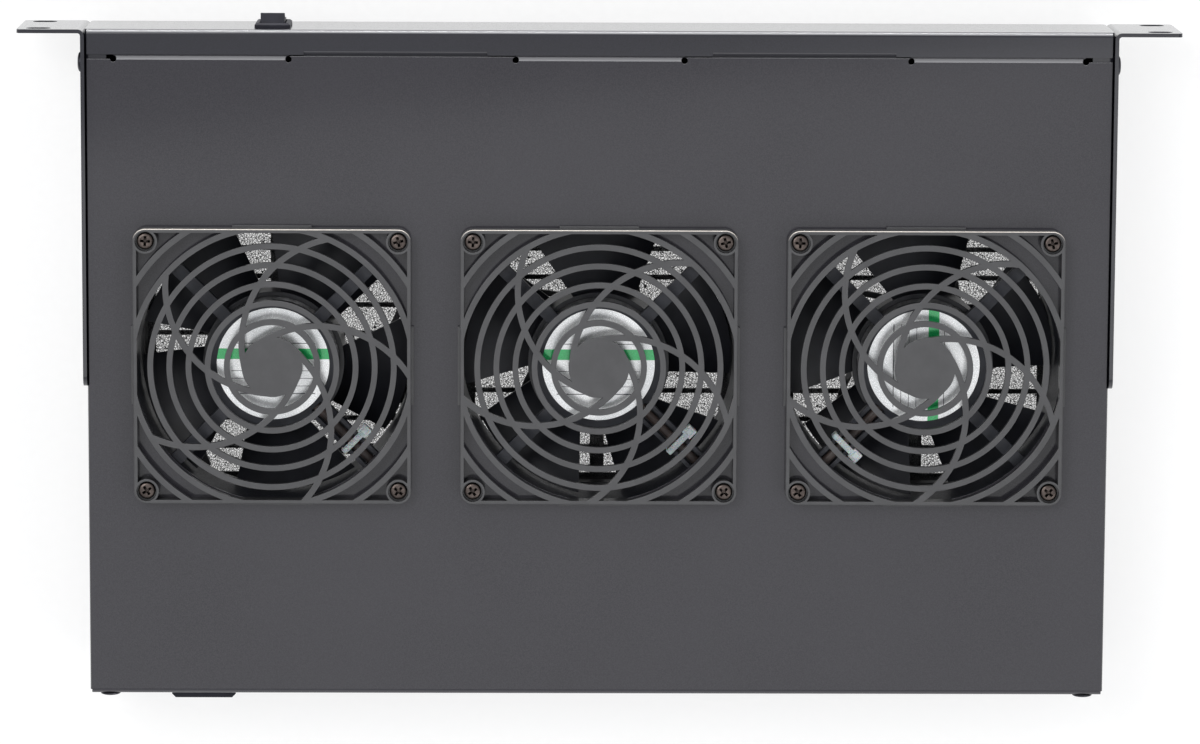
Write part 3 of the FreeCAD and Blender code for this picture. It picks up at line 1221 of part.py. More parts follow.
def build_inlet():
    """Push-in mains inlet: flange outside the rear wall, hollow shroud and three flat pins."""
    x, z = S.inlet_x, INLET_Z
    flange = solid_box("inlet_flange", x - S.inlet_width / 2, TRAY_REAR, z - S.inlet_height / 2,
                       S.inlet_width, S.inlet_reach + S.sheet, S.inlet_height)
    bevelled = doc.addObject("Part::Chamfer", "inlet_bevel")
    bevelled.Base = flange
    doc.recompute()
    edges = [i for i, edge in enumerate(flange.Shape.Edges, start=1)
             if runs_along(edge, 2) and near(edge.CenterOfMass.y, INLET_FACE)]
    bevelled.Edges = [(i, S.inlet_chamfer.value, S.inlet_chamfer.value) for i in edges]
    half = S.socket_width / 2 + S.inlet_body_wall
    tall = S.socket_height / 2 + S.inlet_body_wall
    back = INLET_BACK
    shroud = solid_box("inlet_shroud", x - half, back, z - tall, half * 2, TRAY_REAR - back, tall * 2)
    hollow = start_body("inlet_hollow")
    mouth = start_sketch(hollow, "XZ_Plane", -SOCKET_END)
    wide, high, corner = S.socket_width / 2, S.socket_height / 2, S.socket_corner
    outline(mouth, [
        (x - wide + corner, z - high), (x + wide - corner, z - high), (x + wide, z - high + corner),
        (x + wide, z + high), (x - wide, z + high), (x - wide, z - high + corner)])
    pad(hollow, mouth, S.socket_depth, backwards=True)
    slots = []
    pins = []
    places = [("earth", ZERO, S.earth_pin_rise, S.blade_pin_length + S.earth_pin_extra),
              ("line", S.blade_pin_spacing / 2, -S.earth_pin_rise, S.blade_pin_length),
              ("neutral", -S.blade_pin_spacing / 2, -S.earth_pin_rise, S.blade_pin_length)]
    for name, across, up, length in places:
        low_x = x + across - S.blade_pin_sheet / 2
        low_z = z + up - S.blade_pin_width / 2
        start = back - S.terminal_length
        pins.append(solid_box(f"inlet_pin_{name}", low_x, start, low_z, S.blade_pin_sheet,
                              S.terminal_length + S.inlet_back + length, S.blade_pin_width))
        slots.append(solid_box(f"inlet_slot_{name}", low_x, back, low_z, S.blade_pin_sheet,
                               S.inlet_back, S.blade_pin_width))
    keep(cut("inlet_housing", join("inlet_block", [bevelled, shroud]), hollow, *slots))
    keep(group("inlet_pins", pins))


# ---------------------------------------------------------------- wiring
# A lead's bend takes this share of the shorter run beside it.
CORNER_SHARE = 0.45


def tube_along(points, radius):
    """A round lead through straight runs joined by arcs as large as the runs allow."""
    edges = []
    radii = []
    here = points[0]
    for before, corner, after in zip(points, points[1:], points[2:]):
        arriving = corner - before
        leaving = after - corner
        turn = arriving.getAngle(leaving)
        setback = CORNER_SHARE * min(arriving.Length, leaving.Length)
        begin = corner - V(arriving).normalize() * setback
        end = corner + V(leaving).normalize() * setback
        bend = setback / math.tan(turn / 2)
        radii.append(round(bend, 1))
        inward = (V(leaving).normalize() - V(arriving).normalize()).normalize()
        middle = corner + inward * (math.hypot(bend, setback) - bend)
        edges.append(Part.LineSegment(here, begin).toShape())
        edges.append(Part.Arc(begin, middle, end).toShape())
        here = end
    edges.append(Part.LineSegment(here, points[-1]).toShape())
    path = Part.Wire(edges)
    rim = Part.Wire(Part.makeCircle(radius, points[0], points[1] - points[0]))
    tube = path.makePipeShell([rim], True, False)
    expected = math.pi * radius ** 2 * path.Length
    print(f"  bends {radii} mm, volume {tube.Volume / expected:.4f} of section times length")
    return tube


def block_edges():
    """Left, right, front and rear of the terminal block."""
    left = S.block_x - S.block_width / 2
    rear = REAR - S.block_setback
    return left.value, (left + S.block_width).value, (rear - S.block_depth).value, rear.value


def fan_lead_route(side, turn):
    """Start of a lead: along its strut, over the duct's wall and out through the frame's rear."""
    angle = math.radians(LEAD_ANGLE + turn)
    along = V(math.cos(angle), math.sin(angle), 0)
    height = (STRUT_UNDER + S.channel_floor + S.lead_radius + S.lead_rest).value
    centre = V(fan_centre(side).value, FAN_Y.value, height)
    drop = centre + along * (S.fan_bore + S.fan_wall + S.lead_drop_out).value
    below = drop + along * S.lead_drop_lean.value
    below.z = S.lead_drop_end.value
    behind = V(drop.x, (FAN_Y + S.fan_size / 2 + S.lead_behind).value, S.lead_behind_height.value)
    return [centre + along * (S.label_radius + S.channel_wall).value, drop, below, behind]


def build_fan_leads():
    """The three lead pairs, side by side on the floor behind the fans, into the terminal block."""
    left, _, front, rear = block_edges()
    low = (FLOOR + S.lead_radius + S.lead_lift).value
    entry = low + S.entry_rise.value
    near_front, near_rear = front + S.entry_inset.value, rear - S.entry_inset.value
    lane = (FAN_Y + S.fan_size / 2 + S.lead_lane).value
    far_lane = lane + S.lead_step.value
    beside = left + S.entry_inset.value
    # Loose bends by hand: how far right of the middle, and how far behind the lane.
    ends = {
        "left": [V(-66, far_lane, low), V(-20, far_lane + 3, low), V(26, far_lane - 1, low),
                 V(56, near_rear, entry), V(left, near_rear, entry)],
        "centre": [V(-22, lane, low), V(22, lane - 2, low), V(56, lane + 1, low),
                   V(70, near_front, entry), V(left, near_front, entry)],
        "right": [V(beside, front - S.lead_radius.value * 2, entry), V(beside, front, entry)]}
    for name, side, turn in FAN_SIDES:
        route = fan_lead_route(side, turn) + ends[name]
        keep(custom(f"{name}_fan_lead", tube_along(route, S.lead_radius.value)))


def build_cable_tie(name, side, turn):
    """A strap round the lead strut with its square head on one side."""
    label = f"{name}_cable_tie"
    half = S.channel_width / 2 + S.tie_fit
    low = STRUT_UNDER - S.tie_fit
    high = STRUT_UNDER + S.channel_floor + S.lead_radius * 2 + S.lead_rest + S.tie_fit
    inner = S.tie_radius - S.tie_strap / 2
    band = solid_box(label + "_band", inner, -half - S.tie_sheet, low - S.tie_sheet,
                     S.tie_strap, (half + S.tie_sheet) * 2, high - low + S.tie_sheet * 2)
    hollow = solid_box(label + "_hollow", inner, -half, low, S.tie_strap, half * 2, high - low)
    head = solid_box(label + "_head", S.tie_radius - S.tie_head / 2, half, high + S.tie_sheet - S.tie_head,
                     S.tie_head, S.tie_head, S.tie_head)
    tie = join(label, [cut(label + "_strap", band, hollow), head])
    return keep(place(tie, fan_centre(side), FAN_Y, ZERO, LEAD_ANGLE + turn))


def build_wiring():
    _, right, front, rear = block_edges()
    block = solid_box("terminal_block", S.block_x - S.block_width / 2, REAR - S.block_setback - S.block_depth,
                      FLOOR, S.block_width, S.block_depth, S.block_height)
    block.Label = "terminal_block"
    keep(block)
    build_fan_leads()

    # Switch harness: round the right fan along the tray's side, then to the terminal block.
    low = (FLOOR + S.mains_radius + S.lead_lift).value
    lane = (S.fan_pitch + S.fan_size / 2 + S.harness_lane).value
    switch, middle = S.switch_x.value, SWITCH_Z.value
    start = (FRONT + S.switch_body_depth + S.harness_gap).value
    behind = (FAN_Y + S.fan_size / 2).value
    entry = front + S.entry_inset.value
    route = [V(switch, start, middle), V(switch, start + 20, middle), V(switch + 26, start + 34, low + 6),
             V(lane - 8, start + 44, low), V(lane, 100, low), V(lane + 2, 158, low), V(lane, behind + 2, low),
             V(lane - 20, behind + 16, low), V(right + 24, entry, low), V(right, entry, low)]
    keep(custom("switch_harness", tube_along(route, S.mains_radius.value)))

    # Inlet harness and earth lead.
    x, z = S.inlet_x.value, INLET_Z.value
    back = (INLET_BACK - S.harness_gap).value
    under = z - (S.earth_pin_rise + S.mains_drop).value
    entry = rear - S.entry_inset.value
    route = [V(x, back, under), V(x, back - 14, under), V(x - 12, back - 26, low + 4),
             V(right + 16, entry, low), V(right, entry, low)]
    keep(custom("inlet_harness", tube_along(route, S.mains_radius.value)))
    stud = V(x + S.stud_offset.value, rear - S.stud_setback.value, FLOOR.value)
    ring = stud.z + (S.nut_height - S.earth_radius).value
    end = (INLET_BACK - S.terminal_length).value
    upper = z + S.earth_pin_rise.value
    route = [V(x, end, upper), V(x, end - 9, upper), V(x + 6, end - 18, z - 8),
             V(stud.x - 9, stud.y, ring), V(stud.x - (S.nut_radius + S.press_gap).value, stud.y, ring)]
    keep(custom("earth_lead", tube_along(route, S.earth_radius.value)))
    points = [stud + V(math.cos(math.radians(60 * i)), math.sin(math.radians(60 * i)), 0) * S.nut_radius.value
              for i in range(7)]
    nut = Part.Face(Part.makePolygon(points)).extrude(Z_AXIS * S.nut_height.value)
    bolt = Part.makeCylinder(S.screw_radius.value, S.stud_height.value, stud)
    keep(custom("earth_stud", nut.fuse(bolt)))


def main():
    build_chassis()
    build_lid()
    build_bracket("left_rack_bracket", -1)
    build_bracket("right_rack_bracket", 1)
    build_bracket_screws()
    build_lid_screws()
    guard_turns = {"left": 0.0, "centre": 0.0, "right": 90.0}
    impeller_phases = {"left": 52.0, "centre": 48.0, "right": 21.0}
    build_bearings()
    for name, side, turn in FAN_SIDES:
        build_fan_frame(f"{name}_fan_frame", side, turn)
        build_stator(f"{name}_stator", side)
        build_shaft_and_core(name, side)
        build_impeller(name, side, impeller_phases[name])
        build_label(name, side)
        build_guard(name, side, guard_turns[name])
        build_guard_screws(f"{name}_guard_screws", f"{name}_guard_screw", side, True)
        build_filter(name, side)
        build_guard_screws(f"{name}_filter_screws", f"{name}_filter_screw", side, False)
        build_cable_tie(name, side, turn)
    build_switch()
    build_inlet()
    build_wiring()


def check():
    """Stop if any object failed or any sub-part's shape is missing or broken."""
    doc.recompute()
    for thing in doc.Objects:
        for word in ("Invalid", "Error"):
            if word in thing.State:
                raise RuntimeError(f"{thing.Label}: {thing.State}")
    for node in nodes:
        if node.Shape.isNull() or not node.Shape.isValid():
            raise RuntimeError(f"{node.Label}: shape is missing or broken")
        if not node.Shape.Solids:
            raise RuntimeError(f"{node.Label}: no solid")


main()
check()
os.makedirs("parts", exist_ok=True)
for node in nodes:
    node.Shape.exportStep(f"parts/{node.Label}.step")
print(len(nodes), "nodes")
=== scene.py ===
"""Looks for the rack fan tray: materials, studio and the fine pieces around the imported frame.

Blender works in metres, in the part's own frame: +X to the right seen from the front, +Y to the rear, +Z up.
The sizes of the fine pieces are millimetres here, and MM turns them into metres where they are used.
"""
import math

import bmesh
import bpy
from mathutils import Matrix, Vector


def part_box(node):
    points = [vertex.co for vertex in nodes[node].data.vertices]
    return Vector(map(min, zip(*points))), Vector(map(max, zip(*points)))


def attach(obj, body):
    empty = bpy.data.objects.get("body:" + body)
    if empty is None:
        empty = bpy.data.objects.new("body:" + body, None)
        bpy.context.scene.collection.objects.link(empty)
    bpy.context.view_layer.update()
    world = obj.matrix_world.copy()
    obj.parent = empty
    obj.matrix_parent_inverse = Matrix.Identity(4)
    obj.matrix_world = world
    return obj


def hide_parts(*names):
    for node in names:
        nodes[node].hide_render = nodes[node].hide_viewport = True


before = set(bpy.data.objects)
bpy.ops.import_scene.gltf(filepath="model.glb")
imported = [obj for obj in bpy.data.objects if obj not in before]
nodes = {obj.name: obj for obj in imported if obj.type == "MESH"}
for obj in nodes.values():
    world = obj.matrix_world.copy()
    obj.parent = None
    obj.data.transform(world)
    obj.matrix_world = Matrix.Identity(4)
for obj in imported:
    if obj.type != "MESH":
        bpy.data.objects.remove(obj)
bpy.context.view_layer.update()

MM = 0.001
FAN_PITCH = 136
FAN_Y = 138.4  # the fans' axes, behind the front face
# each side's fan: its axis to the right of the middle, and how far its frame is turned, in degrees
FANS = {"left": (-FAN_PITCH, -90), "centre": (0, 0), "right": (FAN_PITCH, 0)}
BODY_MIDDLE = (0, 0.14, 0)  # metres, what the lamps and the floor are set around


# ---------------------------------------------------------------- camera

def set_camera():
    """A long lens above the tray, leaning a little so that the front face just shows."""
    place = Vector((29.9, -204.4, 2291.3)) * MM
    tilt, pan, roll = math.radians(8.65), math.radians(0.76), math.radians(0.17)
    right = Vector((-1, 0, 0))
    ahead = Vector((0, math.sin(tilt), -math.cos(tilt)))
    up = right.cross(ahead)
    ahead, right = (
        ahead * math.cos(pan) + right * math.sin(pan),
        right * math.cos(pan) - ahead * math.sin(pan),
    )
    right, up = (
        right * math.cos(roll) + up * math.sin(roll),
        up * math.cos(roll) - right * math.sin(roll),
    )
    data = bpy.data.cameras.new("camera")
    data.lens = 165
    data.sensor_width = 36
    data.clip_start, data.clip_end = 0.05, 20
    camera = bpy.data.objects.new("camera", data)
    bpy.context.scene.collection.objects.link(camera)
    turn = Matrix((right, up, -ahead)).transposed().to_4x4()
    camera.matrix_world = Matrix.Translation(place) @ turn
    bpy.context.scene.camera = camera


# ---------------------------------------------------------------- node materials

BEVEL_SAMPLES = 6
HALF_BEND = 0.46  # for the painted bend highlight: outward times upward is 0.5 half way round a bend, and this counts as all of it


def linear(r, g, b):
    """The shader's colour for a colour as it is seen, 0 to 255 each."""
    def one(c):
        c /= 255
        return c / 12.92 if c <= 0.04045 else ((c + 0.055) / 1.055) ** 2.4
    return (one(r), one(g), one(b), 1)


class Look:
    """One node material, with short ways to its usual nodes."""

    def __init__(self, name, **sockets):
        self.material = bpy.data.materials.new(name)
        self.material.use_nodes = True
        self.tree = self.material.node_tree
        self.shader = self.tree.nodes["Principled BSDF"]
        self.place = self.add("ShaderNodeTexCoord").outputs["Object"]
        for key, value in sockets.items():
            self.shader.inputs[key.replace("_", " ")].default_value = value

    def add(self, kind, **settings):
        node = self.tree.nodes.new(kind)
        for key, value in settings.items():
            setattr(node, key, value)
        return node

    def join(self, out, into):
        self.tree.links.new(out, into)

    def fill(self, slot, value):
        """Sets a number or a colour on that input, or links an output into it."""
        if isinstance(value, (int, float, tuple)):
            slot.default_value = value
        else:
            self.join(value, slot)

    def stretch(self, x, y, z):
        node = self.add("ShaderNodeMapping")
        self.join(self.place, node.inputs["Vector"])
        node.inputs["Scale"].default_value = (x, y, z)
        return node.outputs["Vector"]

    def noise(self, size_mm, detail=3.0, rough=0.5, at=None):
        node = self.add("ShaderNodeTexNoise")
        self.join(at or self.place, node.inputs["Vector"])
        node.inputs["Scale"].default_value = 1 / (size_mm * MM)
        node.inputs["Detail"].default_value = detail
        node.inputs["Roughness"].default_value = rough
        return node.outputs["Fac"]

    def cells(self, size_mm, feature="F1", at=None):
        node = self.add("ShaderNodeTexVoronoi", feature=feature)
        self.join(at or self.place, node.inputs["Vector"])
        node.inputs["Scale"].default_value = 1 / (size_mm * MM)
        return node.outputs["Distance"]

    def ramp(self, fac, *stops, smooth=False):
        """stops are (position, colour or value)"""
        node = self.add("ShaderNodeValToRGB")
        if smooth:
            node.color_ramp.interpolation = "EASE"
        for element, (place, colour) in zip(node.color_ramp.elements, stops):
            element.position = place
            element.color = colour if isinstance(colour, tuple) else (colour,) * 3 + (1,)
        self.join(fac, node.inputs["Fac"])
        return node.outputs["Color"]

    def math(self, operation, a, b):
        node = self.add("ShaderNodeMath", operation=operation)
        for slot, value in zip(node.inputs, (a, b)):
            self.fill(slot, value)
        return node.outputs["Value"]

    def mix(self, fac, a, b):
        node = self.add("ShaderNodeMix", data_type="RGBA")
        for slot, value in (("Factor", fac), ("A", a), ("B", b)):
            self.fill(node.inputs[slot], value)
        return node.outputs["Result"]

    def colour(self, out):
        self.join(out, self.shader.inputs["Base Color"])

    def gloss(self, out):
        self.join(out, self.shader.inputs["Roughness"])

    def surface(self, out):
        self.join(out, self.tree.nodes["Material Output"].inputs["Surface"])

    def rounded(self, radius_mm):
        """The direction of the surface, as if its sharp edges were rounded."""
        node = self.add("ShaderNodeBevel", samples=BEVEL_SAMPLES)
        node.inputs["Radius"].default_value = radius_mm * MM
        return node.outputs["Normal"]

    def paint_bend_highlight(self, tone, bright, share, start, cut=0.0, side=-1.0):
        """tone with a painted highlight where a surface turns from the front (side -1) or the rear (1) to the
        top.

        cut counts sharp edges as rounded by so many mm.
        """
        normal = self.rounded(cut)
        facing = self.add("ShaderNodeSeparateXYZ")
        self.join(normal, facing.inputs["Vector"])
        outward = self.math("MULTIPLY", facing.outputs["Y"], side)
        turned = self.math("MULTIPLY", outward, facing.outputs["Z"])
        # the painted highlight's share grows from start to half way round the bend
        lit = self.ramp(turned, (start, 0.0), (HALF_BEND, 1.0))
        return self.mix(self.math("MULTIPLY", lit, share), tone, bright)

    def bump(self, *heights, edge=0.0):
        """heights are (output, strength, depth in mm), each on top of the one before.

        edge rounds the look of sharp edges, in mm.
        """
        below = self.rounded(edge) if edge else None
        for out, strength, depth in heights:
            node = self.add("ShaderNodeBump")
            node.inputs["Strength"].default_value = strength
            node.inputs["Distance"].default_value = depth * MM
            self.join(out, node.inputs["Height"])
            if below:
                self.join(below, node.inputs["Normal"])
            below = node.outputs["Normal"]
        self.join(below, self.shader.inputs["Normal"])


def powder_coat(name, tones, shine, sheen, cut):
    """Black powder coat: a fine orange peel under a thin gloss, with soft cloudy tones.

    Bends that turn from the front or the rear to the top, and cut edges for cut mm beside them, get a painted
    highlight: a pale tone mixed into the colour.
    """
    dark, light, worn = (linear(*tone) for tone in tones)
    look = Look(name, Coat_Weight=shine, Coat_Roughness=0.08, Specular_IOR_Level=sheen)
    orange_peel = look.noise(1.1, detail=2.0, rough=0.45)
    grit = look.noise(0.42, detail=2.0, rough=0.6)
    patches = look.noise(70)
    tone = look.mix(look.ramp(grit, (0.36, 0.0), (0.66, 1.0)), dark, light)
    tone = look.mix(look.ramp(patches, (0.3, 0.0), (0.7, 0.35)), tone, worn)
    # painted highlight: a pale tone, mixed in weakly on bends to the rear and strongly on bends and cut edges
    # to the front
    painted_highlight = linear(205, 205, 208)
    tone = look.paint_bend_highlight(tone, painted_highlight, share=0.06, start=0.1, side=1.0)
    look.colour(look.paint_bend_highlight(tone, painted_highlight, share=0.45, start=0.3, cut=cut))
    look.gloss(look.ramp(orange_peel, (0.3, 0.36), (0.7, 0.48)))
    look.bump((orange_peel, 0.3, 0.12), (grit, 0.2, 0.04), edge=0.5)
    return look.material


def moulded(name, dark, light, rough=(0.42, 0.55), rim=None, **sockets):
    """Moulded plastic: close tones, a fine spark-eroded texture and faint flow marks.

    rim is the tone of a painted highlight on its rounded edges where they turn from the front to the top.
    """
    look = Look(name, **sockets)
    texture = look.noise(0.35, detail=2.0, rough=0.55)
    flow = look.noise(9, rough=0.55, at=look.stretch(1, 1, 0.4))
    tone = look.ramp(flow, (0.32, linear(*dark)), (0.68, linear(*light)), smooth=True)
    # where rim is given, a painted highlight on edges that turn from the front to the top
    look.colour(look.paint_bend_highlight(tone, linear(*rim), share=0.85, start=0.08) if rim else tone)
    look.gloss(look.ramp(texture, (0.3, rough[0]), (0.7, rough[1])))
    look.bump((texture, 0.3, 0.03), edge=0.3)
    return look.material


def metal(name, dark, light):
    """Plated or drawn metal: a fine grain, stains, and painted shade in its recesses."""
    look = Look(name, Metallic=1.0)
    drawn = look.noise(0.5, rough=0.6, at=look.stretch(1, 1, 1))
    stain = look.noise(3.0, detail=4.0, rough=0.6)
    # painted shade: ambient occlusion darkens the colour in recesses, such as the screws' cross recesses
    recess = look.add("ShaderNodeAmbientOcclusion", samples=6)
    recess.inputs["Distance"].default_value = 1.6 * MM
    clean = look.ramp(stain, (0.3, linear(*dark)), (0.7, linear(*light)), smooth=True)
    painted_recess_shade = look.ramp(recess.outputs["AO"], (0.35, 1.0), (0.75, 0.0))
    look.colour(look.mix(painted_recess_shade, clean, linear(14, 13, 13)))
    look.gloss(look.ramp(drawn, (0.3, 0.3), (0.7, 0.45)))
    look.bump((drawn, 0.25, 0.01), edge=0.15)
    return look.material


def cast_alloy():
    """Die-cast alloy under thin black paint: a pebbled skin with soft bluish tones."""
    look = Look("fan_casting", Specular_IOR_Level=0.5)
    skin = look.noise(0.8, rough=0.6)
    pits = look.cells(1.6)
    look.colour(look.ramp(look.noise(5), (0.35, linear(30, 32, 40)), (0.65, linear(40, 42, 50)), smooth=True))
    look.gloss(look.ramp(skin, (0.3, 0.36), (0.7, 0.55)))
    look.bump((skin, 0.3, 0.06), (pits, 0.15, 0.03), edge=0.4)
    return look.material


def winding():
    """Enamelled copper wire, wound round the axis in close turns."""
    look = Look("copper_winding", Metallic=1.0)
    turns = look.add("ShaderNodeTexWave", wave_type="BANDS", bands_direction="Z")
    look.join(look.place, turns.inputs["Vector"])
    turns.inputs["Scale"].default_value = 420
    turns.inputs["Distortion"].default_value = 0.4
    look.colour(look.ramp(look.noise(2), (0.3, linear(120, 58, 30)), (0.7, linear(176, 92, 50)), smooth=True))
    look.gloss(look.ramp(look.noise(1), (0.3, 0.28), (0.7, 0.42)))
    look.bump((turns.outputs["Fac"], 0.6, 0.1))
    return look.material


def foam():
    """Open-cell filter foam: thin dark strands round small open cells that let light through."""
    look = Look("filter_foam", Roughness=0.9)
    strand = look.cells(1.0, "DISTANCE_TO_EDGE", look.stretch(1, 1, 0.16))
    uneven = look.math("MULTIPLY", look.noise(0.5), 0.06)
    open_cell = look.ramp(look.math("ADD", strand, uneven), (0.065, 0.0), (0.115, 1.0))
    look.colour(look.ramp(look.noise(0.6), (0.3, linear(30, 30, 33)), (0.7, linear(60, 60, 64)), smooth=True))
    strand_or_cell = look.add("ShaderNodeMixShader")
    clear = look.add("ShaderNodeBsdfTransparent")
    look.join(open_cell, strand_or_cell.inputs["Fac"])
    look.join(look.shader.outputs["BSDF"], strand_or_cell.inputs[1])
    look.join(clear.outputs["BSDF"], strand_or_cell.inputs[2])
    look.surface(strand_or_cell.outputs["Shader"])
    look.bump((strand, 0.8, 0.3))
    return look.material


def label_foil(side):
    """A silvered foil label with one plain green band and thin rules. Down on it is towards the rear."""
    x, turn = FANS[side]
    band_at, band_half = -4.15, 2.25
    # each rule: how far down the label it lies, and half its width
    rules = ((-8.6, 0.16), (3.0, 0.13), (6.2, 0.13), (9.4, 0.13), (12.6, 0.2))
    rule_half_length = 17.5
    look = Look("label_foil_" + side, Metallic=0.4, Coat_Weight=0.7, Coat_Roughness=0.08)
    move = look.add("ShaderNodeMapping", vector_type="TEXTURE")
    look.join(look.place, move.inputs["Vector"])
    move.inputs["Location"].default_value = (x * MM, FAN_Y * MM, 0)
    move.inputs["Rotation"].default_value = (0, 0, math.radians(turn))
    move.inputs["Scale"].default_value = (MM, MM, MM)
    split = look.add("ShaderNodeSeparateXYZ")
    look.join(move.outputs["Vector"], split.inputs["Vector"])
    across, down = split.outputs["X"], split.outputs["Y"]

    def stripe(where, middle, half):
        """1 within half of the middle, in mm, and 0 outside, with a soft edge."""
        away = look.math("ABSOLUTE", look.math("SUBTRACT", where, middle), 0)
        return look.ramp(look.math("SUBTRACT", away, half - 0.5), (0.42, 1.0), (0.58, 0.0))

    cloud = look.noise(11, detail=2.0)
    silver = look.ramp(cloud, (0.35, linear(232, 234, 235)), (0.65, linear(252, 253, 253)), smooth=True)
    printed = look.mix(stripe(down, band_at, band_half), silver, linear(30, 168, 92))
    inside = stripe(across, 0, rule_half_length)
    for middle, half in rules:
        rule = look.math("MULTIPLY", stripe(down, middle, half), inside)
        printed = look.mix(rule, printed, linear(58, 60, 64))
    look.colour(printed)
    look.gloss(look.ramp(look.noise(0.25, detail=2.0), (0.3, 0.2), (0.7, 0.3)))
    look.bump((cloud, 0.35, 0.5), (look.noise(0.25, detail=2.0), 0.1, 0.01))
    return look.material


def make_looks():
    """Every material, by the name of the finish that it gives."""
    made = [
        powder_coat("black_coat", ((22, 22, 29), (31, 31, 40), (35, 35, 44)), shine=1.0, sheen=0.2, cut=0.0),
        powder_coat("lid_coat", ((45, 44, 49), (56, 55, 60), (60, 59, 64)), shine=0.5, sheen=0.12, cut=0.45),
        # guard_plastic: rim paints a pale highlight along the guard's front top edges
        moulded("guard_plastic", (54, 54, 56), (61, 61, 63), (0.4, 0.52), rim=(232, 224, 214),
                Coat_Weight=0.35, Coat_Roughness=0.1),
        metal("dark_screws", (46, 46, 50), (70, 70, 76)),
        metal("guard_screw_steel", (78, 71, 68), (108, 98, 93)),
        metal("bright_steel", (150, 150, 152), (196, 196, 198)),
        cast_alloy(),
        moulded("impeller_plastic", (24, 25, 30), (31, 32, 38), (0.3, 0.42)),
        winding(),
        foam(),
        moulded("white_nylon", (212, 220, 222), (232, 238, 240), (0.35, 0.5),
                Subsurface_Weight=0.25, Subsurface_Scale=0.002),
        moulded("lead_sleeve", (52, 44, 42), (70, 58, 54), (0.4, 0.6)),
        moulded("earth_sleeve", (86, 134, 44), (150, 160, 50), (0.4, 0.55)),
        moulded("switch_plastic", (28, 28, 37), (36, 36, 46), (0.45, 0.6), Specular_IOR_Level=0.25),
        moulded("rocker_plastic", (30, 30, 39), (38, 38, 48), (0.35, 0.5), Specular_IOR_Level=0.25),
        moulded("block_plastic", (214, 210, 198), (228, 226, 216)),
        metal("tinned_brass", (178, 172, 158), (206, 202, 190)),
    ]
    made += [label_foil(side) for side in FANS]
    return {material.name.split(".")[0]: material for material in made}


def dress(looks):
    """Every CAD node's own material slot gets the finish of that name."""
    for name, node in nodes.items():
        for slot in node.material_slots:
            wanted = slot.material.name.split(".")[0]
            if wanted == "label_foil":
                wanted += "_" + name.split("_")[0]
            if name == "top_cover":
                wanted = "lid_coat"
            slot.material = looks[wanted]


# ---------------------------------------------------------------- fine pieces

def solids_of(node):
    """The lowest and highest corner of each separate solid of a CAD node."""
    mesh = bmesh.new()
    mesh.from_mesh(nodes[node].data)
    bmesh.ops.remove_doubles(mesh, verts=mesh.verts, dist=1e-6)
    waiting, boxes = set(mesh.verts), []
    while waiting:
        found, edge = set(), [waiting.pop()]
        while edge:
            vertex = edge.pop()
            found.add(vertex)
            for near in vertex.link_edges:
                other = near.other_vert(vertex)
                if other in waiting:
                    waiting.discard(other)
                    edge.append(other)
        low = Vector([min(v.co[i] for v in found) for i in range(3)])
        high = Vector([max(v.co[i] for v in found) for i in range(3)])
        boxes.append((low, high))
    mesh.free()
    return sorted(boxes, key=lambda box: tuple(round(c, 5) for c in box[0]))


def add_piece(name, mesh, look, stands_for):
    """A new object of that bmesh, shaded smooth by angle, that rides on the tray in place of a CAD node."""
    data = bpy.data.meshes.new(name)
    mesh.to_mesh(data)
    mesh.free()
    piece = bpy.data.objects.new(name, data)
    bpy.context.scene.collection.objects.link(piece)
    data.materials.append(looks[look])
    for face in data.polygons:
        face.use_smooth = True
    data.set_sharp_from_angle(angle=math.radians(35))
    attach(piece, "tray")
    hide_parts(stands_for)
    return piece


def lathe(mesh, profile, steps):
    """Turns (radius, height) points round Z into a closed skin."""
    rings = []
    for radius, height in profile:
        if radius < 1e-6:
            rings.append([mesh.verts.new((0, 0, height * MM))])
            continue
        rings.append([
            mesh.verts.new((radius * MM * math.cos(a), radius * MM * math.sin(a), height * MM))
            for a in (2 * math.pi * i / steps for i in range(steps))])
    for lower, upper in zip(rings, rings[1:]):
        for i in range(steps):
            j = (i + 1) % steps
            below, above = len(lower), len(upper)
            corners = [lower[i % below], lower[j % below], upper[j % above], upper[i % above]]
            mesh.faces.new(list(dict.fromkeys(corners)))


def cross_cutter(reach, depth, wide):
    """A tapered cross, to cut a screw's recess from the plane z = 0 downwards."""
    overshoot = 0.4  # above that plane, for a clean cut
    foot_reach, foot_wide = 0.42, 0.8  # the bottom's share of the top
    mesh = bmesh.new()
    for turn in (0, math.pi / 2):
        spin = Matrix.Rotation(turn, 3, "Z")
        top, bottom = [], []
        for sx, sy in ((-1, -1), (1, -1), (1, 1), (-1, 1)):
            foot = Vector((sx * reach * foot_reach, sy * wide * foot_wide, -depth))
            top.append(mesh.verts.new(spin @ Vector((sx * reach, sy * wide, overshoot)) * MM))
            bottom.append(mesh.verts.new(spin @ foot * MM))
        mesh.faces.new(top)
        mesh.faces.new(list(reversed(bottom)))
        for i in range(4):
            j = (i + 1) % 4
            mesh.faces.new([top[j], top[i], bottom[i], bottom[j]])
    return mesh


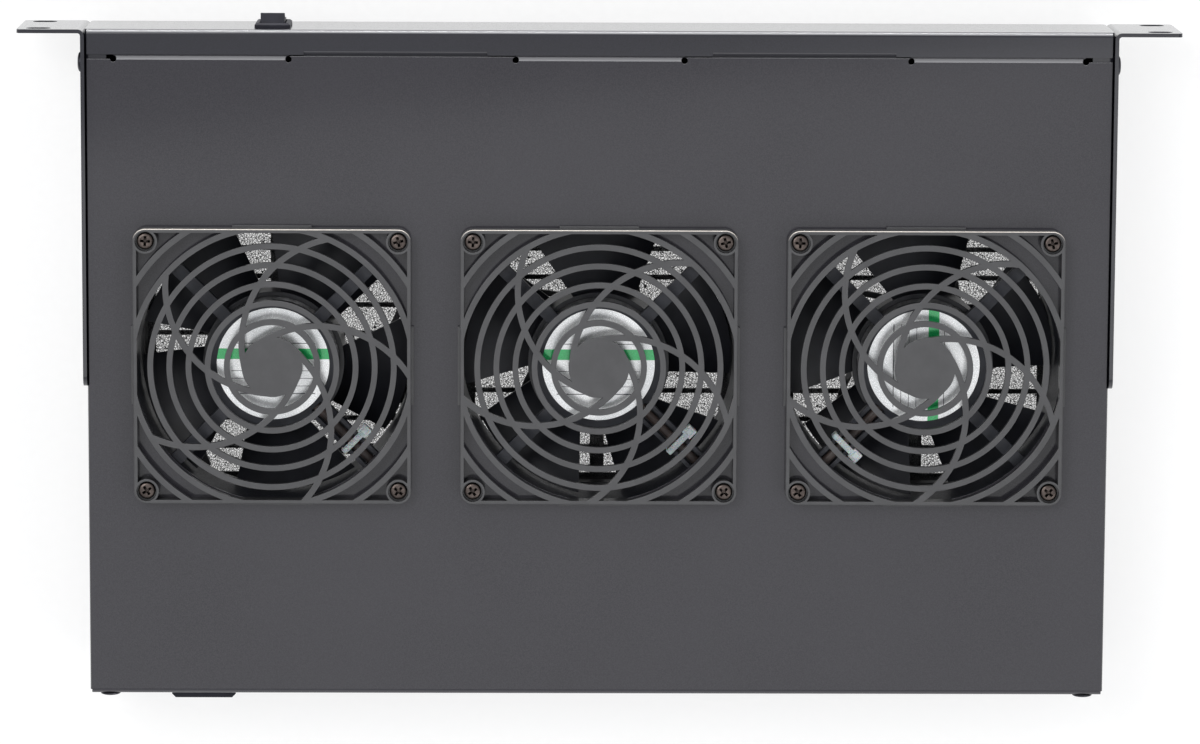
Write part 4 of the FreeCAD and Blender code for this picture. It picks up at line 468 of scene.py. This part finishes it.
def screw_mesh(profile, top, reach, depth, wide):
    """A turned screw with a cross recess cut into its head, top mm above its seat, by a boolean."""
    body = bmesh.new()
    lathe(body, profile, 40)
    cutter = cross_cutter(reach, depth, wide)
    bmesh.ops.translate(cutter, verts=cutter.verts, vec=(0, 0, top * MM))
    objects = []
    for name, mesh in (("screw_blank", body), ("screw_cutter", cutter)):
        bmesh.ops.recalc_face_normals(mesh, faces=mesh.faces)
        data = bpy.data.meshes.new(name)
        mesh.to_mesh(data)
        mesh.free()
        objects.append(bpy.data.objects.new(name, data))
        bpy.context.scene.collection.objects.link(objects[-1])
    blank, tool = objects
    cut = blank.modifiers.new("recess", "BOOLEAN")
    cut.object, cut.operation, cut.solver, cut.use_self = tool, "DIFFERENCE", "EXACT", True
    shaped = bpy.data.meshes.new_from_object(blank.evaluated_get(bpy.context.evaluated_depsgraph_get()))
    for item in objects:
        bpy.data.objects.remove(item)
    return shaped


SHANK = 1.95  # radius of every screw's shank
PAN_HEAD = 1.9  # height of the CAD's pan heads
LOW_HEAD = 1.25  # height that the lid's screws show
SMALL_HEAD = 1.6  # height of the heads that sit in the guards' and filter bases' bosses


def shank_end(length):
    """The shank's tapered end as (radius, height) points, with the seat at height 0."""
    taper, lead_in = 0.72, 0.5
    return [(0, -length), (SHANK * taper, -length), (SHANK, -length + lead_in)]


def pan_profile(head, high, length, crown=0.66):
    """Shank, flat underside, short upright rim and a domed head that rises to a small flat."""
    edge = 0.12
    rim = high * 0.42
    flat = crown * head * 0.72
    dome_steps = 6
    points = shank_end(length) + [(SHANK, 0), (head - edge, 0), (head, edge), (head, rim - 0.1)]
    for step in range(1, dome_steps + 1):
        a = math.radians(90 * step / dome_steps)
        points.append((flat + (head - flat) * math.cos(a), rim + (high - rim) * math.sin(a)))
    return points + [(0, high)]


def flush_profile(head, length):
    """Shank, countersunk cone and a flat face with a slightly broken edge."""
    cone_top = [(head - 0.06, -0.1), (head - 0.02, -0.02), (head - 0.15, 0), (0, 0)]
    return shank_end(length) + [(SHANK, SHANK - head)] + cone_top


def dress_screws():
    """Each group of plain CAD screws is replaced by screws with a cross recess, each turned its own way."""
    deepest_recess = 1.9
    made = {}

    def screw_for(node, wide, long):
        """(mesh, height of the CAD head above its seat) for a screw with that head radius and full length."""
        crown = LOW_HEAD if node == "rear_lid_screws" else PAN_HEAD
        key = (round(wide, 1), round(long, 1), crown)
        if key not in made:
            if wide < 3.5:
                profile = flush_profile(wide, long)
                made[key] = (screw_mesh(profile, 0, reach=2.2, depth=1.8, wide=0.55), 0.0)
            elif wide < 3.8:
                profile = pan_profile(wide, SMALL_HEAD, long - SMALL_HEAD, crown=0.8)
                made[key] = (screw_mesh(profile, SMALL_HEAD, reach=2.4, depth=1.8, wide=0.55), SMALL_HEAD)
            else:
                profile = pan_profile(wide, crown, long - PAN_HEAD)
                recess = min(deepest_recess, crown + 0.3)
                made[key] = (screw_mesh(profile, crown, reach=2.5, depth=recess, wide=0.6), PAN_HEAD)
        return made[key]

    def dress_set(node, axis_of, slot):
        """A detailed screw in the place of each solid of that node. axis_of gives the way its head points."""
        mesh = bmesh.new()
        for number, (low, high) in enumerate(solids_of(node)):
            middle = (low + high) / 2
            axis = axis_of(middle)
            long = abs((high - low).dot(axis)) / MM
            across = Vector((1, 1, 1)) - Vector([abs(c) for c in axis])
            wide = max((high - low)[i] * across[i] for i in range(3)) / MM / 2
            top = Vector([high[i] if axis[i] > 0 else low[i] if axis[i] < 0 else middle[i] for i in range(3)])
            shaped, seat = screw_for(node, wide, long)
            turn = Matrix.Rotation(math.radians(37 * number + 13), 4, "Z")
            place = Matrix.Translation(top) @ axis.to_track_quat("Z", "Y").to_matrix().to_4x4()
            data = shaped.copy()
            data.transform(place @ turn @ Matrix.Translation((0, 0, -seat * MM)))
            mesh.from_mesh(data)
            bpy.data.meshes.remove(data)
        add_piece(node + "_detail", mesh, slot, node)

    for side in FANS:
        dress_set(side + "_guard_screws", lambda middle: Vector((0, 0, 1)), "guard_screw_steel")
        dress_set(side + "_filter_screws", lambda middle: Vector((0, 0, -1)), "guard_screw_steel")
    dress_set("bracket_screws", lambda middle: Vector((math.copysign(1, middle.x), 0, 0)), "dark_screws")
    dress_set("rear_lid_screws", lambda middle: Vector((0, 1, 0)), "dark_screws")


TIE_RADIUS = 47  # cable tie, from the fan's axis
TIE_STRUT = 135  # degrees from a fan's own +X to the strut that carries its lead
TIE_HALF = 1.3  # half the strap's width
TIE_REACH = 5.7  # the strap's outer face, to each side of the strut's middle
TIE_HEAD = 4.6  # the head, each way


def tie_outline(low, high):
    """The strap's outer face as (y, z, normal y, normal z) in even short steps, with rounded corners."""
    corner, step_length = 1.1, 0.27
    side, top, bottom = TIE_REACH - corner, high - corner, low + corner
    middles = ((side, top), (-side, top), (-side, bottom), (side, bottom))
    corner_steps = 4
    corners = []
    for quarter, (y, z) in enumerate(middles):
        for step in range(corner_steps + 1):
            a = math.radians(90 * quarter + 90 / corner_steps * step)
            corners.append((y + corner * math.cos(a), z + corner * math.sin(a), math.cos(a), math.sin(a)))
    outline = []
    for start, end in zip(corners, corners[1:] + corners[:1]):
        pieces = max(1, round(math.hypot(end[0] - start[0], end[1] - start[1]) / step_length))
        outline += [[a + (b - a) * i / pieces for a, b in zip(start, end)] for i in range(pieces)]
    return outline


def tie_section(groove):
    """The strap cut across, as (along the strut, depth below its outer face). groove is 0 on a rib."""
    thick, soft = 1.0, 0.25
    half = [(-TIE_HALF, thick), (-TIE_HALF, soft), (-TIE_HALF + 0.35, 0.0), (-TIE_HALF + 0.5, groove)]
    return half + [(-along, depth) for along, depth in reversed(half)]


def add_tie_strap(mesh, low, high):
    """A closed strap: two flat rings for a rib and two sunk ones for a groove, all the way round."""
    sections = []
    for number, (y, z, ny, nz) in enumerate(tie_outline(low, high)):
        groove = 0.0 if number % 4 < 2 else 0.3
        sections.append([
            mesh.verts.new(Vector((TIE_RADIUS + along, y - ny * depth, z - nz * depth)) * MM)
            for along, depth in tie_section(groove)])
    for one, two in zip(sections, sections[1:] + sections[:1]):
        for i in range(len(one)):
            j = (i + 1) % len(one)
            mesh.faces.new([one[i], one[j], two[j], two[i]])


def add_tie_head(mesh, high):
    """A rounded block beside the strut with a pocket in its top, where the strap comes through."""
    inner_face, rounding, pocket_rim, pocket_depth = 4.7, 0.7, 0.8, 0.9
    block = bmesh.ops.create_cube(mesh, size=TIE_HEAD * MM)["verts"]
    middle = Vector((TIE_RADIUS, inner_face + TIE_HEAD / 2, high - TIE_HEAD / 2))
    bmesh.ops.translate(mesh, verts=block, vec=middle * MM)
    edges = list({e for v in block for e in v.link_edges})
    bmesh.ops.bevel(mesh, geom=edges, offset=rounding * MM, segments=3, profile=0.6, affect="EDGES")
    upper = [f for f in mesh.faces if f.normal.z > 0.99 and f.calc_center_median().y > 5.8 * MM
             and f.calc_area() > 4 * MM * MM]
    bmesh.ops.inset_individual(mesh, faces=upper, thickness=pocket_rim * MM, depth=0)
    floor = list({v for f in upper for v in f.verts})
    bmesh.ops.translate(mesh, verts=floor, vec=(0, 0, -pocket_depth * MM))


def dress_ties():
    """Ribbed straps with a moulded head, round each fan's lead strut."""
    for side, (x, turn) in FANS.items():
        low, high = (c.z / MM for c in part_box(side + "_cable_tie"))
        mesh = bmesh.new()
        add_tie_strap(mesh, low, high)
        add_tie_head(mesh, high)
        bmesh.ops.recalc_face_normals(mesh, faces=mesh.faces)
        fan_axis = Matrix.Translation((x * MM, FAN_Y * MM, 0))
        strut = Matrix.Rotation(math.radians(TIE_STRUT + turn), 4, "Z")
        bmesh.ops.transform(mesh, matrix=fan_axis @ strut, verts=mesh.verts)
        add_piece(side + "_cable_tie_ribbed", mesh, "white_nylon", side + "_cable_tie")


FOAM_STEPS = 28


def foam_face(mesh, middle, half, face):
    """The upper (face 1) or lower (-1) skin of a foam slab as rows of points, closer together at its rim."""
    def spread(k):
        even = 2 * k / FOAM_STEPS - 1
        return math.sin(math.pi / 2 * even) * 0.35 + 0.65 * even

    def point(u, v):
        from_rim = max(1 - max(abs(u), abs(v)), 0)
        swell = min(1.0, 0.45 + math.sqrt(from_rim * 14) * 0.55)
        wave = 0.12 * MM * (math.sin(u * 9 + face) * math.cos(v * 7 - face * 2) - 1)
        return (middle.x + u * half.x, middle.y + v * half.y, middle.z + face * (half.z + wave) * swell)

    rows = [[mesh.verts.new(point(spread(i), spread(j))) for j in range(FOAM_STEPS + 1)]
            for i in range(FOAM_STEPS + 1)]
    for i in range(FOAM_STEPS):
        for j in range(FOAM_STEPS):
            mesh.faces.new([rows[i][j], rows[i + 1][j], rows[i + 1][j + 1], rows[i][j + 1]])
    return rows


def dress_foam():
    """Each filter's foam: a soft slab with rounded rims whose faces undulate a little."""
    last = FOAM_STEPS
    rim = [(i, 0) for i in range(last)] + [(last, j) for j in range(last)]
    rim += [(last - i, last) for i in range(last)] + [(0, last - j) for j in range(last)]
    for side in FANS:
        low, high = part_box(side + "_filter_foam")
        middle, half = (low + high) / 2, (high - low) / 2
        mesh = bmesh.new()
        upper, lower = (foam_face(mesh, middle, half, face) for face in (1, -1))
        for (i, j), (k, m) in zip(rim, rim[1:] + rim[:1]):
            mesh.faces.new([upper[i][j], upper[k][m], lower[k][m], lower[i][j]])
        bmesh.ops.recalc_face_normals(mesh, faces=mesh.faces)
        piece = add_piece(side + "_foam_slab", mesh, "filter_foam", side + "_filter_foam")


# ---------------------------------------------------------------- studio

def set_sky():
    """A soft sky that is white at the horizon and greyer overhead."""
    world = bpy.data.worlds.new("studio")
    bpy.context.scene.world = world
    world.use_nodes = True
    tree = world.node_tree
    sky = tree.nodes["Background"]
    where = tree.nodes.new("ShaderNodeTexCoord")
    split = tree.nodes.new("ShaderNodeSeparateXYZ")
    fade = tree.nodes.new("ShaderNodeValToRGB")
    tree.links.new(where.outputs["Generated"], split.inputs["Vector"])
    tree.links.new(split.outputs["Z"], fade.inputs["Fac"])
    tree.links.new(fade.outputs["Color"], sky.inputs["Color"])
    horizon, overhead = fade.color_ramp.elements
    horizon.position, horizon.color = 0.25, (1, 1, 1, 1)
    overhead.position, overhead.color = 0.9, (0.55, 0.56, 0.58, 1)
    sky.inputs["Strength"].default_value = 1.0


def lay_floor():
    """A pale floor just under the filters that takes the shadow. Only the view and gloss see its glow."""
    gap = 0.0002
    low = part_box("centre_filter_cover")[0].z
    bpy.ops.mesh.primitive_plane_add(size=8, location=(*BODY_MIDDLE[:2], low - gap))
    floor = bpy.context.object
    floor.name = "floor"
    look = Look("pale_floor", Roughness=0.8, Specular_IOR_Level=0.2)
    look.colour(look.ramp(look.noise(3), (0.4, 0.33), (0.6, 0.35)))
    rays = look.add("ShaderNodeLightPath")
    seen = look.math("MAXIMUM", rays.outputs["Is Camera Ray"], rays.outputs["Is Glossy Ray"])
    seen = look.math("MAXIMUM", seen, rays.outputs["Is Transmission Ray"])
    glow = look.add("ShaderNodeEmission")
    glow.inputs["Strength"].default_value = 0.69
    glow_or_not = look.add("ShaderNodeMixShader")
    dark = look.add("ShaderNodeEmission")
    dark.inputs["Strength"].default_value = 0.0
    look.join(seen, glow_or_not.inputs["Fac"])
    look.join(dark.outputs["Emission"], glow_or_not.inputs[1])
    look.join(glow.outputs["Emission"], glow_or_not.inputs[2])
    both = look.add("ShaderNodeAddShader")
    look.join(look.shader.outputs["BSDF"], both.inputs[0])
    look.join(glow_or_not.outputs["Shader"], both.inputs[1])
    look.surface(both.outputs["Shader"])
    floor.data.materials.append(look.material)


def softbox(name, place, aim, size, power):
    """A rectangular lamp at a place in metres that points at another, of that size and power in watts."""
    data = bpy.data.lights.new(name, "AREA")
    data.shape = "RECTANGLE"
    data.size, data.size_y = size
    data.energy = power
    lamp = bpy.data.objects.new(name, data)
    bpy.context.scene.collection.objects.link(lamp)
    lamp.location = place
    lamp.rotation_euler = (Vector(aim) - Vector(place)).to_track_quat("-Z", "Y").to_euler()


def studio():
    """Sky, floor and four soft lamps: key, overhead, fill, and a strip low in front for the front face."""
    bpy.context.scene.view_settings.view_transform = "Standard"
    set_sky()
    lay_floor()
    softbox("key", (0.9, -0.7, 2.0), BODY_MIDDLE, size=(1.1, 1.0), power=17)
    softbox("overhead", (-0.05, 0.62, 2.5), BODY_MIDDLE, size=(1.2, 0.7), power=3.4)
    softbox("fill", (-1.2, 1.1, 1.3), BODY_MIDDLE, size=(1.0, 1.0), power=6)
    softbox("front", (0.0, -1.6, 0.1), (0, 0, 0.02), size=(2.4, 0.14), power=26)


set_camera()
looks = make_looks()
dress(looks)
dress_screws()
dress_ties()
dress_foam()
studio()
